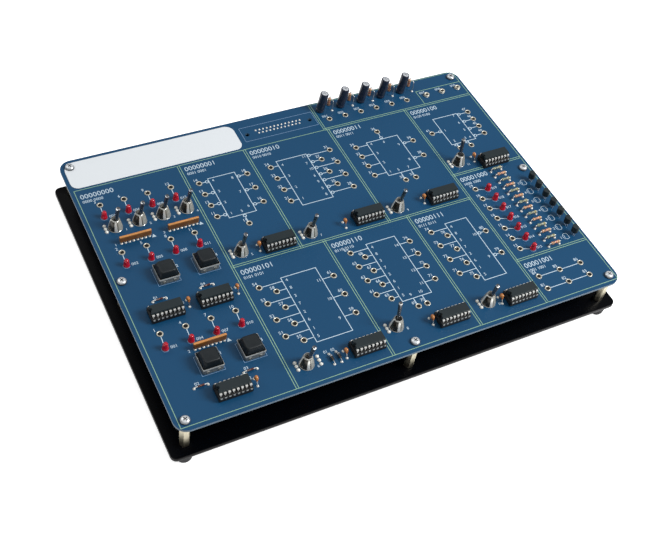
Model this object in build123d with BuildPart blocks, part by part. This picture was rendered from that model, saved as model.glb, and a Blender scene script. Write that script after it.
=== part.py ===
"""Digital logic trainer: a blue circuit board held on standoffs above an acrylic base plate.

Millimetres, +Z up. The origin is under the middle of the base plate, on the bench.
Board places are given as (x, y) from the board's front left corner, and heights from its top face.
"""
import math
import os
from itertools import pairwise

from build123d import *

# ---- driving dimensions ----------------------------------------------------------------------
BOARD_WIDTH = 300.0
BOARD_DEPTH = 215.0
BOARD_THICKNESS = 1.6
BOARD_CORNER_RADIUS = 8.0

BASE_THICKNESS = 3.0
BASE_SIDE_MARGIN = 3.5
BASE_END_MARGIN = 1.5
BASE_CORNER_RADIUS = 4.0

FOOT_RADIUS = 5.5
FOOT_HEIGHT = 7.0
FOOT_DRAW_IN = 0.7
FOOT_SIDE_INSET = 9.0
FOOT_END_INSET = 6.0

STANDOFF_ACROSS_FLATS = 5.5
STANDOFF_LENGTH = 22.0
STANDOFF_INSET = 6.5
STANDOFF_MIDDLE_X = 150.0
STANDOFF_MIDDLE_SHIFT = 1.0
STANDOFF_BORE_RADIUS = 1.5
STANDOFF_BORE_DEPTH = 8.0

SCREW_HEAD_RADIUS = 2.9
SCREW_HEAD_HEIGHT = 2.2
SCREW_RIM_HEIGHT = 1.1
SCREW_CROWN_RADIUS = 1.75
SCREW_SHANK_LENGTH = 6.5

THREAD_CLEARANCE = 0.05
HOLE_CLEARANCE = 0.2
TINY_SIDES = 6
SMALL_SIDES = 8
ROUND_SIDES = 12
SOCKET_BORE_SIDES = 4

# Jumper sockets
SOCKET_RADIUS = 2.1
SOCKET_BORE_RADIUS = 1.3
SOCKET_HEIGHT = 1.0
SOCKET_FLOOR = 0.2
SUPPLY_BORE_RADIUS = 1.1
SUPPLY_HEIGHT = 1.6
SUPPLY_FLOOR = 0.2

# Toggle switches
BUSHING_RADIUS = 3.0
BUSHING_HEIGHT = 7.8
NUT_RADIUS = 4.6
NUT_TOP_RADIUS = 3.2
NUT_HEIGHT = 7.0
PIVOT_HEIGHT = 3.0
PIVOT_RADIUS = 1.6
PIVOT_CLEARANCE = 0.08
LEVER_RADIUS = 1.3
LEVER_NECK_RADIUS = 0.95
LEVER_LENGTH = 17.1
LEVER_TIP_LENGTH = 1.5
LEVER_TIP_RADIUS = 0.8
LEVER_TAIL = 6.0
LEVER_TAIL_RADIUS = 0.75
LEVER_TILT_DEG = 9.0
MOUTH_CLEARANCE = 0.4
SWITCH_BODY_WIDTH = 8.0
SWITCH_BODY_DEPTH = 13.0
SWITCH_BODY_HEIGHT = 9.5
POCKET_CLEARANCE = 1.2
TERMINAL_WIDTH = 1.6
TERMINAL_THICKNESS = 0.8
TERMINAL_LENGTH = 4.0
TERMINAL_PITCH = 4.4

# Push buttons
HOUSING_WIDTH = 12.7
HOUSING_HEIGHT = 4.8
HOUSING_WALL = 0.35
HOUSING_FLOOR = 0.8
HOUSING_CORNER = 1.0
CAP_CORNER = 1.4
CAP_CLEARANCE = 0.2
CAP_BOTTOM = 3.4
CAP_SKIRT_TOP = 5.2
CAP_TOP = 8.7
CAP_TAPER_DEG = 18.0
CAP_EDGE = 0.4
BUTTON_TRAVEL = 1.2
STEM_WIDTH = 3.0
STEM_GAP = 0.15
DOME_RADIUS = 3.0
DOME_TOP_RADIUS = 1.5
DOME_HEIGHT = 0.6

# Integrated circuits
IC_LENGTH = 19.5
IC_WIDTH = 6.35
IC_HEIGHT = 3.3
IC_SEAT_GAP = 0.5
IC_SOCKET_LENGTH = 20.3
IC_SOCKET_WIDTH = 10.16
IC_SOCKET_HEIGHT = 4.2
IC_SOCKET_WINDOW = 5.0
IC_SOCKET_BAR = 2.0
NOTCH_RADIUS = 1.2

# Small parts on the board
LED_FOOT_RADIUS = 2.0
LED_RADIUS = 1.55
LED_SHOULDER = 4.3
LED_CROWN_RADIUS = 0.8
LED_HEIGHT = 5.6
NETWORK_LENGTH = 20.3
NETWORK_THICKNESS = 2.2
NETWORK_HEIGHT = 6.0
WIRE = 0.6
RESISTOR_LENGTH = 6.3
RESISTOR_RADIUS = 1.15
RESISTOR_RISE = 3.0
RESISTOR_PITCH = 8.3
SMALL_RESISTOR_LENGTH = 4.0
SMALL_RESISTOR_RADIUS = 0.85
SMALL_RESISTOR_RISE = 1.3
DIODE_LENGTH = 4.0
DIODE_RADIUS = 0.9
DIODE_RISE = 1.5
DIODE_PITCH = 7.5
CERAMIC_WIDTH = 3.6
CERAMIC_THICKNESS = 2.4
CERAMIC_RISE = 2.8
CERAMIC_TOP = 6.4
CERAMIC_CROWN_WIDTH = 1.8
CERAMIC_CROWN_DROP = 1.1
CERAMIC_PITCH = 5.08
CERAMIC_LEAD_SPREAD = 2.4
CAN_RADIUS = 3.0
CAN_HEIGHT = 15.5
CAN_ROLL = 0.5
TRANSISTOR_RADIUS = 2.4
TRANSISTOR_RISE = 2.8
TRANSISTOR_HEIGHT = 4.8
TRANSISTOR_PITCH = 1.27
UPRIGHT_RADIUS = 1.2
UPRIGHT_HEIGHT = 6.5
UPRIGHT_LOOP = 2.2
UPRIGHT_SPAN = 5.8

# 25-way connector under the back edge
CONNECTOR_MIDDLE = 150.0
JACK_SPACING = 47.04
JACK_INSET = 14.6
CONNECTOR_WIDTH = 53.0
CONNECTOR_HEIGHT = 12.5
FLANGE_FACE_INSET = 6.6
FLANGE_THICKNESS = 0.8
BODY_LENGTH = 13.4
BODY_WIDTH = 40.0
EAR_LENGTH = 5.0
SHELL_WIDTH = 38.3
SHELL_HEIGHT = 7.9
SHELL_LENGTH = 6.0
SHELL_WALL = 0.5
SHELL_SLOPE_DEG = 10.0
SHELL_CORNER = 1.6
CONTACT_PITCH = 2.77
CONTACT_ROW_SPACING = 2.84
LONG_ROW_COUNT = 13
SHORT_ROW_COUNT = 12
CONTACT_HOLE = 1.1
CONTACT_DEPTH = 4.0
INSULATOR_RECESS = 0.3
JACK_ACROSS_FLATS = 4.8
JACK_LENGTH = 5.0
JACK_BORE_RADIUS = 1.42
JACK_BORE_DEPTH = 4.2
JACK_SHANK_RADIUS = 1.4
JACK_SHANK_LENGTH = 4.0

# ---- levels and planes -----------------------------------------------------------------------
BASE_BOTTOM = FOOT_HEIGHT
BASE_TOP = BASE_BOTTOM + BASE_THICKNESS
BOARD_BOTTOM = BASE_TOP + STANDOFF_LENGTH
BOARD_TOP = BOARD_BOTTOM + BOARD_THICKNESS

corner = (-BOARD_WIDTH / 2, -BOARD_DEPTH / 2)
top_plane = Plane((*corner, BOARD_TOP))
bottom_plane = Plane((*corner, BOARD_BOTTOM))

# ---- places on the board ---------------------------------------------------------------------
left, right = STANDOFF_INSET, BOARD_WIDTH - STANDOFF_INSET
front, back = STANDOFF_INSET, BOARD_DEPTH - STANDOFF_INSET
middle = BOARD_DEPTH / 2 + STANDOFF_MIDDLE_SHIFT
standoff_places = [
    (left, front), (STANDOFF_MIDDLE_X, front), (right, front),
    (left, middle), (right, middle), (left, back), (right, back),
]


def run(x, y, step_x, step_y, count):
    """Evenly stepped places, starting at (x, y)."""
    return [(x + i * step_x, y + i * step_y) for i in range(count)]


# Each run: first place, step along X, step along Y, number of sockets.
SOURCE_PITCH = 15.55
DISPLAY_PITCH = 9.33
POWER_ROW = BOARD_DEPTH - 18.3
socket_runs = {
    "sources": [(14.0, 171.2, SOURCE_PITCH, 0, 4), (14.0, 130.0, SOURCE_PITCH, 0, 4),
                (14.0, 65.1, SOURCE_PITCH, 0, 4)],
    "block 1": [(78.8, 168.2, 0, -10.2, 4), (111.7, 166.3, 0, -13.2, 3), (95.6, 125.7, 0, 0, 1)],
    "block 2": [(128.6, 166.3, 0, -10.7, 4), (173.5, 168.7, 0, -12.1, 4),
                (164.3, 162.3, 0, -12.1, 3)],
    "block 3": [(191.7, 164.6, 0, -9.3, 4), (213.2, 174.1, 0, 0, 1), (233.3, 158.1, 0, -15.2, 2),
                (209.9, 126.0, 7.8, 0, 2)],
    "block 4": [(249.7, 159.7, 0, 0, 1), (286.4, 171.3, 0, -7.7, 4), (261.7, 140.5, 9.1, 0, 2)],
    "block 5": [(80.3, 75.8, 0, -12.8, 4), (89.1, 69.7, 0, -12.8, 4), (126.9, 68.6, 0, -15.1, 3)],
    "block 6": [(144.9, 81.0, 0, -11.7, 4), (152.2, 75.1, 0, -11.7, 4),
                (185.4, 76.9, 0, -10.9, 4), (165.0, 29.0, 6.2, 0, 2)],
    "block 7": [(202.4, 78.6, 0, -12.1, 4), (211.2, 72.6, 0, -12.1, 4), (237.4, 67.4, 0, -19.5, 2)],
    "display": [(250.7, 102.2, 0, -DISPLAY_PITCH, 7)],
    "channels": [(249.4, 22.2, 16.3, 0, 3), (249.4, 11.8, 16.3, 0, 3)],
    "power": [(187.2, POWER_ROW, 12.5, 0, 6)],
}
socket_places = [place for runs in socket_runs.values() for r in runs for place in run(*r)]
supply_places = run(266.2, POWER_ROW, 13.15, 0, 3)

# Toggle switches: place of the lever, and which way it leans at rest (front or back).
FRONT, BACK = 1, -1
toggles = [(x, y, FRONT) for x, y in run(17.0, 150.4, 15.5, 0, 4)]
toggles += [(81.4, 105.4, FRONT), (128.6, 104.8, FRONT), (192.0, 105.0, FRONT), (252.6, 128.3, BACK),
            (83.4, 15.6, FRONT), (144.9, 20.5, BACK), (207.4, 16.2, FRONT)]
toggle_places = [(x, y) for x, y, lean in toggles]

button_places = [(32.6, 104.7), (58.0, 104.7), (32.6, 36.3), (58.0, 36.3)]

ic_places = [(22.5, 77.7), (52.6, 77.5), (37.8, 14.9), (105.7, 103.5), (169.3, 104.5),
             (224.7, 103.8), (277.0, 122.0), (121.4, 13.6), (179.6, 14.1), (228.6, 13.0)]
ceramic_places = [(36.8, 79.9), (67.2, 78.8), (51.6, 14.9), (92.9, 104.9), (152.0, 103.7),
                  (211.3, 105.3), (264.3, 128.0), (107.0, 13.5), (166.5, 16.1), (215.2, 14.7)]

LED_OFFSET = -0.7
led_places = [p for y in (160.4, 119.4, 54.4) for p in run(14.0 + LED_OFFSET, y, SOURCE_PITCH, 0, 4)]
led_places += run(258.8, 99.3, 0, -DISPLAY_PITCH, 7)

network_places = [(25.1, 137.0), (55.9, 136.8), (37.5, 48.0)]
small_resistor_places = [(22.3, 88.0), (51.9, 88.0), (22.5, 23.5), (51.9, 23.2)]
resistor_places = run(274.1, 112.8, 0, -5.53, 14)
diode_places = [(98.4, 13.5), (103.0, 13.5)]
transistor_places = run(292.4, 96.7, 0, -8.65, 7)
can_places = run(184.6, BOARD_DEPTH - 8.5, 16.2, 0, 5)
upright_places = run(192.9, BOARD_DEPTH - 5.1, 16.3, 0, 5)


def stacked(plane, places, sections, sides=SMALL_SIDES, mode=Mode.ADD):
    """Few-sided turned forms: each step narrows from its wide end, so all its faces are flat."""
    for (low, start), (high, end) in pairwise(sections):
        drawn_in = abs(start - end) * math.cos(math.pi / sides)
        taper = math.degrees(math.atan2(drawn_in, high - low))
        wide_level, rise = (low, high - low) if start >= end else (high, low - high)
        with BuildSketch(plane.offset(wide_level)) as wide_end:
            with Locations(*places):
                RegularPolygon(max(start, end), sides)
        extrude(wide_end.sketch, amount=rise, taper=taper, mode=mode)


def finish(piece, name):
    """Name a finished piece and write it as its own STEP file."""
    piece.part.label = name
    export_step(piece.part, f"parts/{name}.step")


os.makedirs("parts", exist_ok=True)

# ---- base plate ------------------------------------------------------------------------------
BASE_WIDTH = BOARD_WIDTH + 2 * BASE_SIDE_MARGIN
BASE_DEPTH = BOARD_DEPTH + 2 * BASE_END_MARGIN

with BuildPart() as base_plate:
    with BuildSketch(Plane.XY.offset(BASE_BOTTOM)):
        RectangleRounded(BASE_WIDTH, BASE_DEPTH, BASE_CORNER_RADIUS)
    extrude(amount=BASE_THICKNESS)
finish(base_plate, "base_plate")

# ---- rubber feet: tapered bumpers stuck under the corners --------------------------------------
foot_x = BASE_WIDTH / 2 - FOOT_SIDE_INSET
foot_y = BASE_DEPTH / 2 - FOOT_END_INSET
foot_places = [(-foot_x, -foot_y), (foot_x, -foot_y), (-foot_x, foot_y), (foot_x, foot_y)]
foot_sections = [(0, FOOT_RADIUS - FOOT_DRAW_IN), (FOOT_HEIGHT, FOOT_RADIUS)]

with BuildPart() as rubber_feet:
    stacked(Plane.XY, foot_places, foot_sections, ROUND_SIDES)
finish(rubber_feet, "rubber_feet")

# ---- standoffs: hexagonal pillars, tapped from the top -----------------------------------------
standoff_radius = STANDOFF_ACROSS_FLATS / 2 / math.cos(math.pi / 6)

with BuildPart() as standoffs:
    with BuildSketch(bottom_plane):
        with Locations(*standoff_places):
            RegularPolygon(standoff_radius, TINY_SIDES)
    extrude(amount=-STANDOFF_LENGTH)
    with BuildSketch(bottom_plane):
        with Locations(*standoff_places):
            RegularPolygon(STANDOFF_BORE_RADIUS, TINY_SIDES)
    extrude(amount=-STANDOFF_BORE_DEPTH, mode=Mode.SUBTRACT)
finish(standoffs, "standoffs")

# ---- circuit board: one sheet, drilled for the screws, the switches and the connector ----------
SCREW_HOLE_RADIUS = STANDOFF_BORE_RADIUS + HOLE_CLEARANCE
jack_row = BOARD_DEPTH - JACK_INSET
connector_holes = [(CONNECTOR_MIDDLE - JACK_SPACING / 2, jack_row),
                   (CONNECTOR_MIDDLE + JACK_SPACING / 2, jack_row)]

with BuildPart() as circuit_board:
    with BuildSketch(Plane.XY.offset(BOARD_BOTTOM)):
        RectangleRounded(BOARD_WIDTH, BOARD_DEPTH, BOARD_CORNER_RADIUS)
    extrude(amount=BOARD_THICKNESS)
    with BuildSketch(bottom_plane):
        with Locations(*standoff_places, *connector_holes):
            RegularPolygon(SCREW_HOLE_RADIUS, TINY_SIDES)
        with Locations(*toggle_places):
            RegularPolygon(BUSHING_RADIUS + THREAD_CLEARANCE, SMALL_SIDES)
    extrude(amount=BOARD_THICKNESS, mode=Mode.SUBTRACT)
finish(circuit_board, "circuit_board")

# ---- board screws: pan heads on the board, shanks down into the standoffs ----------------------
head_sections = [(0, SCREW_HEAD_RADIUS), (SCREW_RIM_HEIGHT, SCREW_HEAD_RADIUS),
                 (SCREW_HEAD_HEIGHT, SCREW_CROWN_RADIUS)]

with BuildPart() as board_screws:
    stacked(top_plane, standoff_places, head_sections)
    with BuildSketch(top_plane):
        with Locations(*standoff_places):
            RegularPolygon(STANDOFF_BORE_RADIUS - THREAD_CLEARANCE, TINY_SIDES)
    extrude(amount=-SCREW_SHANK_LENGTH)
finish(board_screws, "board_screws")

# ---- jumper sockets: short turned barrels with a blind bore ------------------------------------
with BuildPart() as test_sockets:
    with BuildSketch(top_plane):
        with Locations(*socket_places):
            RegularPolygon(SOCKET_RADIUS, TINY_SIDES)
    extrude(amount=SOCKET_HEIGHT)
    with BuildSketch(top_plane.offset(SOCKET_FLOOR)):
        with Locations(*socket_places):
            RegularPolygon(SOCKET_BORE_RADIUS, SOCKET_BORE_SIDES)
    extrude(amount=SOCKET_HEIGHT, mode=Mode.SUBTRACT)
finish(test_sockets, "test_sockets")

with BuildPart() as supply_sockets:
    with BuildSketch(top_plane):
        with Locations(*supply_places):
            RegularPolygon(SOCKET_RADIUS, SMALL_SIDES)
    extrude(amount=SUPPLY_HEIGHT)
    with BuildSketch(top_plane.offset(SUPPLY_FLOOR)):
        with Locations(*supply_places):
            Circle(SUPPLY_BORE_RADIUS)
    extrude(amount=SUPPLY_HEIGHT, mode=Mode.SUBTRACT)
finish(supply_sockets, "supply_sockets")

# ---- toggle switches ---------------------------------------------------------------------------
# The bushing comes up through the board and its nut clamps it there. The bore is narrowest round
# the lever's pivot and opens both ways, so the lever can tip. The tail works in the body's pocket.
swing = math.tan(math.radians(LEVER_TILT_DEG))
bore_waist = PIVOT_RADIUS + PIVOT_CLEARANCE
mouth_radius = LEVER_RADIUS + (BUSHING_HEIGHT - PIVOT_HEIGHT) * swing + MOUTH_CLEARANCE
throat_radius = LEVER_NECK_RADIUS + (PIVOT_HEIGHT + BOARD_THICKNESS) * swing + MOUTH_CLEARANCE
bore_sections = [(-BOARD_THICKNESS, throat_radius), (PIVOT_HEIGHT, bore_waist),
                 (BUSHING_HEIGHT, mouth_radius)]
nut_sections = [(0, NUT_RADIUS), (NUT_HEIGHT, NUT_TOP_RADIUS)]

with BuildPart() as toggle_bushings:
    with BuildSketch(bottom_plane):
        with Locations(*toggle_places):
            RegularPolygon(BUSHING_RADIUS, SMALL_SIDES)
    extrude(amount=BOARD_THICKNESS + BUSHING_HEIGHT)
    stacked(top_plane, toggle_places, nut_sections)
    stacked(top_plane, toggle_places, bore_sections, mode=Mode.SUBTRACT)
finish(toggle_bushings, "toggle_bushings")

tail_swing = LEVER_TAIL * swing + LEVER_NECK_RADIUS + MOUTH_CLEARANCE
pocket_depth = LEVER_TAIL - PIVOT_HEIGHT - BOARD_THICKNESS + POCKET_CLEARANCE

with BuildPart() as toggle_bodies:
    with BuildSketch(bottom_plane):
        with Locations(*toggle_places):
            Rectangle(SWITCH_BODY_WIDTH, SWITCH_BODY_DEPTH)
    extrude(amount=-SWITCH_BODY_HEIGHT)
    with BuildSketch(bottom_plane):
        with Locations(*toggle_places):
            Rectangle(2 * (LEVER_NECK_RADIUS + MOUTH_CLEARANCE), 2 * tail_swing)
    extrude(amount=-pocket_depth, mode=Mode.SUBTRACT)
    with BuildSketch(bottom_plane.offset(-SWITCH_BODY_HEIGHT)):
        with Locations(*toggle_places):
            with GridLocations(0, TERMINAL_PITCH, 1, 3):
                Rectangle(TERMINAL_THICKNESS, TERMINAL_WIDTH)
    extrude(amount=-TERMINAL_LENGTH)
finish(toggle_bodies, "toggle_bodies")

lever_sections = [
    (-LEVER_TAIL, LEVER_TAIL_RADIUS),
    (-PIVOT_RADIUS, LEVER_NECK_RADIUS),
    (0, PIVOT_RADIUS),
    (PIVOT_RADIUS, LEVER_NECK_RADIUS),
    (LEVER_LENGTH - LEVER_TIP_LENGTH, LEVER_RADIUS),
    (LEVER_LENGTH, LEVER_TIP_RADIUS),
]
for number, (x, y, lean) in enumerate(toggles, start=1):
    pivot = Plane((corner[0] + x, corner[1] + y, BOARD_TOP + PIVOT_HEIGHT))
    tipped = pivot.rotated((lean * LEVER_TILT_DEG, 0, 0))
    with BuildPart() as lever:
        stacked(tipped, [(0, 0)], lever_sections)
    finish(lever, f"toggle_lever_{number}")

# ---- push buttons: open housing, snap dome on its floor, and a cap with a stem ------------------
housing_inner = HOUSING_WIDTH - 2 * HOUSING_WALL

with BuildPart() as button_housings:
    with BuildSketch(top_plane) as housing_sketch:
        with Locations(*button_places):
            Rectangle(HOUSING_WIDTH, HOUSING_WIDTH)
        chamfer(housing_sketch.vertices(), HOUSING_CORNER)
    extrude(amount=HOUSING_HEIGHT)
    with BuildSketch(top_plane.offset(HOUSING_FLOOR)):
        with Locations(*button_places):
            Rectangle(housing_inner, housing_inner)
    extrude(amount=HOUSING_HEIGHT, mode=Mode.SUBTRACT)
finish(button_housings, "button_housings")

dome_top = HOUSING_FLOOR + DOME_HEIGHT
dome_sections = [(HOUSING_FLOOR, DOME_RADIUS), (dome_top, DOME_TOP_RADIUS)]

with BuildPart() as snap_domes:
    stacked(top_plane, button_places, dome_sections)
finish(snap_domes, "snap_domes")

CAP_WIDTH = housing_inner - 2 * CAP_CLEARANCE
stem_bottom = dome_top + BUTTON_TRAVEL + STEM_GAP

for number, place in enumerate(button_places, start=1):
    with BuildPart() as cap:
        with BuildSketch(top_plane.offset(CAP_BOTTOM)) as cap_sketch:
            with Locations(place):
                Rectangle(CAP_WIDTH, CAP_WIDTH)
            chamfer(cap_sketch.vertices(), CAP_CORNER)
        extrude(amount=CAP_SKIRT_TOP - CAP_BOTTOM)
        extrude(cap.faces().sort_by(Axis.Z)[-1], amount=CAP_TOP - CAP_SKIRT_TOP, taper=CAP_TAPER_DEG)
        chamfer(cap.faces().sort_by(Axis.Z)[-1].edges(), CAP_EDGE)
        with BuildSketch(top_plane.offset(stem_bottom)):
            with Locations(place):
                Rectangle(STEM_WIDTH, STEM_WIDTH)
        extrude(amount=CAP_BOTTOM - stem_bottom)
    finish(cap, f"button_cap_{number}")

# ---- integrated circuits: a notched body in each open-framed socket -----------------------------
window_length = IC_SOCKET_LENGTH - 2 * IC_SOCKET_BAR

with BuildPart() as ic_sockets:
    with BuildSketch(top_plane):
        with Locations(*ic_places):
            Rectangle(IC_SOCKET_LENGTH, IC_SOCKET_WIDTH)
            Rectangle(window_length, IC_SOCKET_WINDOW, mode=Mode.SUBTRACT)
    extrude(amount=IC_SOCKET_HEIGHT)
finish(ic_sockets, "ic_sockets")

with BuildPart() as ics:
    with BuildSketch(top_plane.offset(IC_SOCKET_HEIGHT + IC_SEAT_GAP)):
        with Locations(*ic_places):
            Rectangle(IC_LENGTH, IC_WIDTH)
            with Locations((-IC_LENGTH / 2, 0)):
                RegularPolygon(NOTCH_RADIUS, SMALL_SIDES, mode=Mode.SUBTRACT)
    extrude(amount=IC_HEIGHT)
finish(ics, "ics")

# ---- lamps, resistor networks and capacitors ----------------------------------------------------
led_sections = [(0, LED_FOOT_RADIUS), (LED_SHOULDER, LED_RADIUS), (LED_HEIGHT, LED_CROWN_RADIUS)]

with BuildPart() as leds:
    stacked(top_plane, led_places, led_sections, TINY_SIDES)
finish(leds, "leds")

with BuildPart() as resistor_networks:
    with BuildSketch(top_plane):
        with Locations(*network_places):
            Rectangle(NETWORK_LENGTH, NETWORK_THICKNESS)
    extrude(amount=NETWORK_HEIGHT)
finish(resistor_networks, "resistor_networks")

can_sections = [(0, CAN_RADIUS), (CAN_HEIGHT - CAN_ROLL, CAN_RADIUS),
                (CAN_HEIGHT, CAN_RADIUS - CAN_ROLL)]

with BuildPart() as electrolytic_capacitors:
    stacked(top_plane, can_places, can_sections, ROUND_SIDES)
finish(electrolytic_capacitors, "electrolytic_capacitors")


def across(x, y, turned=False):
    """Upright plane through a place: its X runs along the part's length, its Y points up."""
    length_way = (0, 1, 0) if turned else (1, 0, 0)
    depth_way = (1, 0, 0) if turned else (0, -1, 0)
    return Plane((corner[0] + x, corner[1] + y, BOARD_TOP), x_dir=length_way, z_dir=depth_way)


def axial_bodies(places, length, radius, rise, turned=False):
    """Six-sided barrels lying at a height, along X or turned to lie along Y."""
    solids = []
    for x, y in places:
        middle_plane = across(x, y, turned)
        end_plane = Plane(middle_plane.origin + middle_plane.x_dir * (-length / 2),
                          x_dir=middle_plane.z_dir, z_dir=middle_plane.x_dir)
        with BuildPart() as barrel:
            with BuildSketch(end_plane):
                with Locations(end_plane.to_local_coords(end_plane.origin + Vector(0, 0, rise))):
                    RegularPolygon(radius, TINY_SIDES)
            extrude(amount=length)
        solids.append(barrel.part.solid())
    return solids


def bent_leads(places, length, rise, pitch, turned=False):
    """Two leads a part: out of each end of the body, then down to the board."""
    solids = []
    half = WIRE / 2
    for x, y in places:
        for side in (-1, 1):
            with BuildPart() as lead:
                with BuildSketch(across(x, y, turned)):
                    with BuildLine():
                        Polyline(
                            (side * length / 2, rise + half),
                            (side * (pitch / 2 + half), rise + half),
                            (side * (pitch / 2 + half), 0),
                            (side * (pitch / 2 - half), 0),
                            (side * (pitch / 2 - half), rise - half),
                            (side * length / 2, rise - half),
                            close=True,
                        )
                    make_face()
                extrude(amount=half, both=True)
            solids.append(lead.part.solid())
    return solids


small_size = (SMALL_RESISTOR_LENGTH, SMALL_RESISTOR_RADIUS, SMALL_RESISTOR_RISE)

with BuildPart() as resistors:
    add(axial_bodies(resistor_places, RESISTOR_LENGTH, RESISTOR_RADIUS, RESISTOR_RISE))
    add(axial_bodies(small_resistor_places, *small_size))
finish(resistors, "resistors")

with BuildPart() as resistor_leads:
    add(bent_leads(resistor_places, RESISTOR_LENGTH, RESISTOR_RISE, RESISTOR_PITCH))
    add(bent_leads(small_resistor_places, SMALL_RESISTOR_LENGTH, SMALL_RESISTOR_RISE, RESISTOR_PITCH))
finish(resistor_leads, "resistor_leads")

with BuildPart() as diodes:
    add(axial_bodies(diode_places, DIODE_LENGTH, DIODE_RADIUS, DIODE_RISE, turned=True))
finish(diodes, "diodes")

with BuildPart() as diode_leads:
    add(bent_leads(diode_places, DIODE_LENGTH, DIODE_RISE, DIODE_PITCH, turned=True))
finish(diode_leads, "diode_leads")

# Ceramic capacitors stand on two leads that lean in from their pads, in line with the board's depth.
with BuildPart() as ceramic_capacitors:
    for x, y in ceramic_places:
        with BuildSketch(across(x, y, turned=True)):
            with BuildLine():
                Polyline(
                    (-CERAMIC_WIDTH / 2, CERAMIC_RISE),
                    (CERAMIC_WIDTH / 2, CERAMIC_RISE),
                    (CERAMIC_WIDTH / 2, CERAMIC_TOP - CERAMIC_CROWN_DROP),
                    (CERAMIC_CROWN_WIDTH / 2, CERAMIC_TOP),
                    (-CERAMIC_CROWN_WIDTH / 2, CERAMIC_TOP),
                    (-CERAMIC_WIDTH / 2, CERAMIC_TOP - CERAMIC_CROWN_DROP),
                    close=True,
                )
            make_face()
        extrude(amount=CERAMIC_THICKNESS / 2, both=True)
finish(ceramic_capacitors, "ceramic_capacitors")

with BuildPart() as ceramic_leads:
    for x, y in ceramic_places:
        for side in (-1, 1):
            pad = side * CERAMIC_PITCH / 2
            seat = side * CERAMIC_LEAD_SPREAD / 2
            with BuildSketch(across(x, y, turned=True)):
                with BuildLine():
                    Polyline(
                        (pad + WIRE / 2, 0),
                        (pad - WIRE / 2, 0),
                        (seat - WIRE / 2, CERAMIC_RISE),
                        (seat + WIRE / 2, CERAMIC_RISE),
                        close=True,
                    )
                make_face()
            extrude(amount=WIRE / 2, both=True)
finish(ceramic_leads, "ceramic_leads")

# Transistors: a round-backed body whose flat side faces right, on three leads in line.
with BuildPart() as transistors:
    with BuildSketch(top_plane.offset(TRANSISTOR_RISE)):
        with Locations(*transistor_places):
            RegularPolygon(TRANSISTOR_RADIUS, SMALL_SIDES)
            with Locations((TRANSISTOR_RADIUS, 0)):
                Rectangle(TRANSISTOR_RADIUS, 2 * TRANSISTOR_RADIUS, mode=Mode.SUBTRACT)
    extrude(amount=TRANSISTOR_HEIGHT)
finish(transistors, "transistors")

with BuildPart() as transistor_leads:
    with BuildSketch(top_plane):
        with Locations(*transistor_places):
            with GridLocations(0, TRANSISTOR_PITCH, 1, 3):
                Rectangle(WIRE, WIRE)
    extrude(amount=TRANSISTOR_RISE)
finish(transistor_leads, "transistor_leads")

# Upright parts: a barrel standing on the board, its upper lead looped over to the second pad.
with BuildPart() as upright_parts:
    with BuildSketch(top_plane):
        with Locations(*upright_places):
            RegularPolygon(UPRIGHT_RADIUS, TINY_SIDES)
    extrude(amount=UPRIGHT_HEIGHT)
finish(upright_parts, "upright_parts")

loop_top = UPRIGHT_HEIGHT + UPRIGHT_LOOP

with BuildPart() as upright_leads:
    for x, y in upright_places:
        with BuildSketch(across(x, y, turned=True)):
            with Locations((-UPRIGHT_SPAN / 2, (UPRIGHT_HEIGHT + loop_top) / 2)):
                Rectangle(UPRIGHT_SPAN + WIRE, UPRIGHT_LOOP)
            with Locations((-UPRIGHT_SPAN, UPRIGHT_HEIGHT / 2)):
                Rectangle(WIRE, UPRIGHT_HEIGHT)
            with Locations((-UPRIGHT_SPAN / 2, (UPRIGHT_HEIGHT + loop_top - WIRE) / 2)):
                Rectangle(UPRIGHT_SPAN - WIRE, UPRIGHT_LOOP - WIRE, mode=Mode.SUBTRACT)
        extrude(amount=WIRE / 2, both=True)
finish(upright_leads, "upright_leads")

# ---- 25-way connector: under the back edge, facing backwards ------------------------------------
flange_back = BOARD_DEPTH - FLANGE_FACE_INSET
flange_front = flange_back - FLANGE_THICKNESS
connector_axis = -CONNECTOR_HEIGHT / 2


def facing_back(y):
    """Plane looking out of the back of the board, centred on the connector; its Y points up."""
    place = (corner[0] + CONNECTOR_MIDDLE, corner[1] + y, BOARD_BOTTOM + connector_axis)
    return Plane(place, x_dir=(-1, 0, 0), z_dir=(0, 1, 0))


def shell_outline(shrink):
    """Size and side angle of the D-shaped outline, wide side down, drawn in by a distance."""
    return SHELL_WIDTH - 2 * shrink, SHELL_HEIGHT - 2 * shrink, 90 - SHELL_SLOPE_DEG


with BuildPart() as connector_shell:
    with BuildSketch(facing_back(flange_front)):
        Rectangle(CONNECTOR_WIDTH, CONNECTOR_HEIGHT)
        with GridLocations(JACK_SPACING, 0, 2, 1):
            RegularPolygon(JACK_SHANK_RADIUS + HOLE_CLEARANCE, SMALL_SIDES, mode=Mode.SUBTRACT)
    extrude(amount=FLANGE_THICKNESS)
    with BuildSketch(facing_back(flange_back)) as shell_sketch:
        Trapezoid(*shell_outline(0))
        chamfer(shell_sketch.vertices(), SHELL_CORNER)
    extrude(amount=SHELL_LENGTH)
    with BuildSketch(facing_back(flange_front)) as bore_sketch:
        Trapezoid(*shell_outline(SHELL_WALL))
        chamfer(bore_sketch.vertices(), SHELL_CORNER - SHELL_WALL)
    extrude(amount=FLANGE_THICKNESS + SHELL_LENGTH, mode=Mode.SUBTRACT)
finish(connector_shell, "connector_shell")

insulator_length = FLANGE_THICKNESS + SHELL_LENGTH - INSULATOR_RECESS

contact_rows = [(-CONTACT_ROW_SPACING / 2, LONG_ROW_COUNT), (CONTACT_ROW_SPACING / 2, SHORT_ROW_COUNT)]

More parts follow.
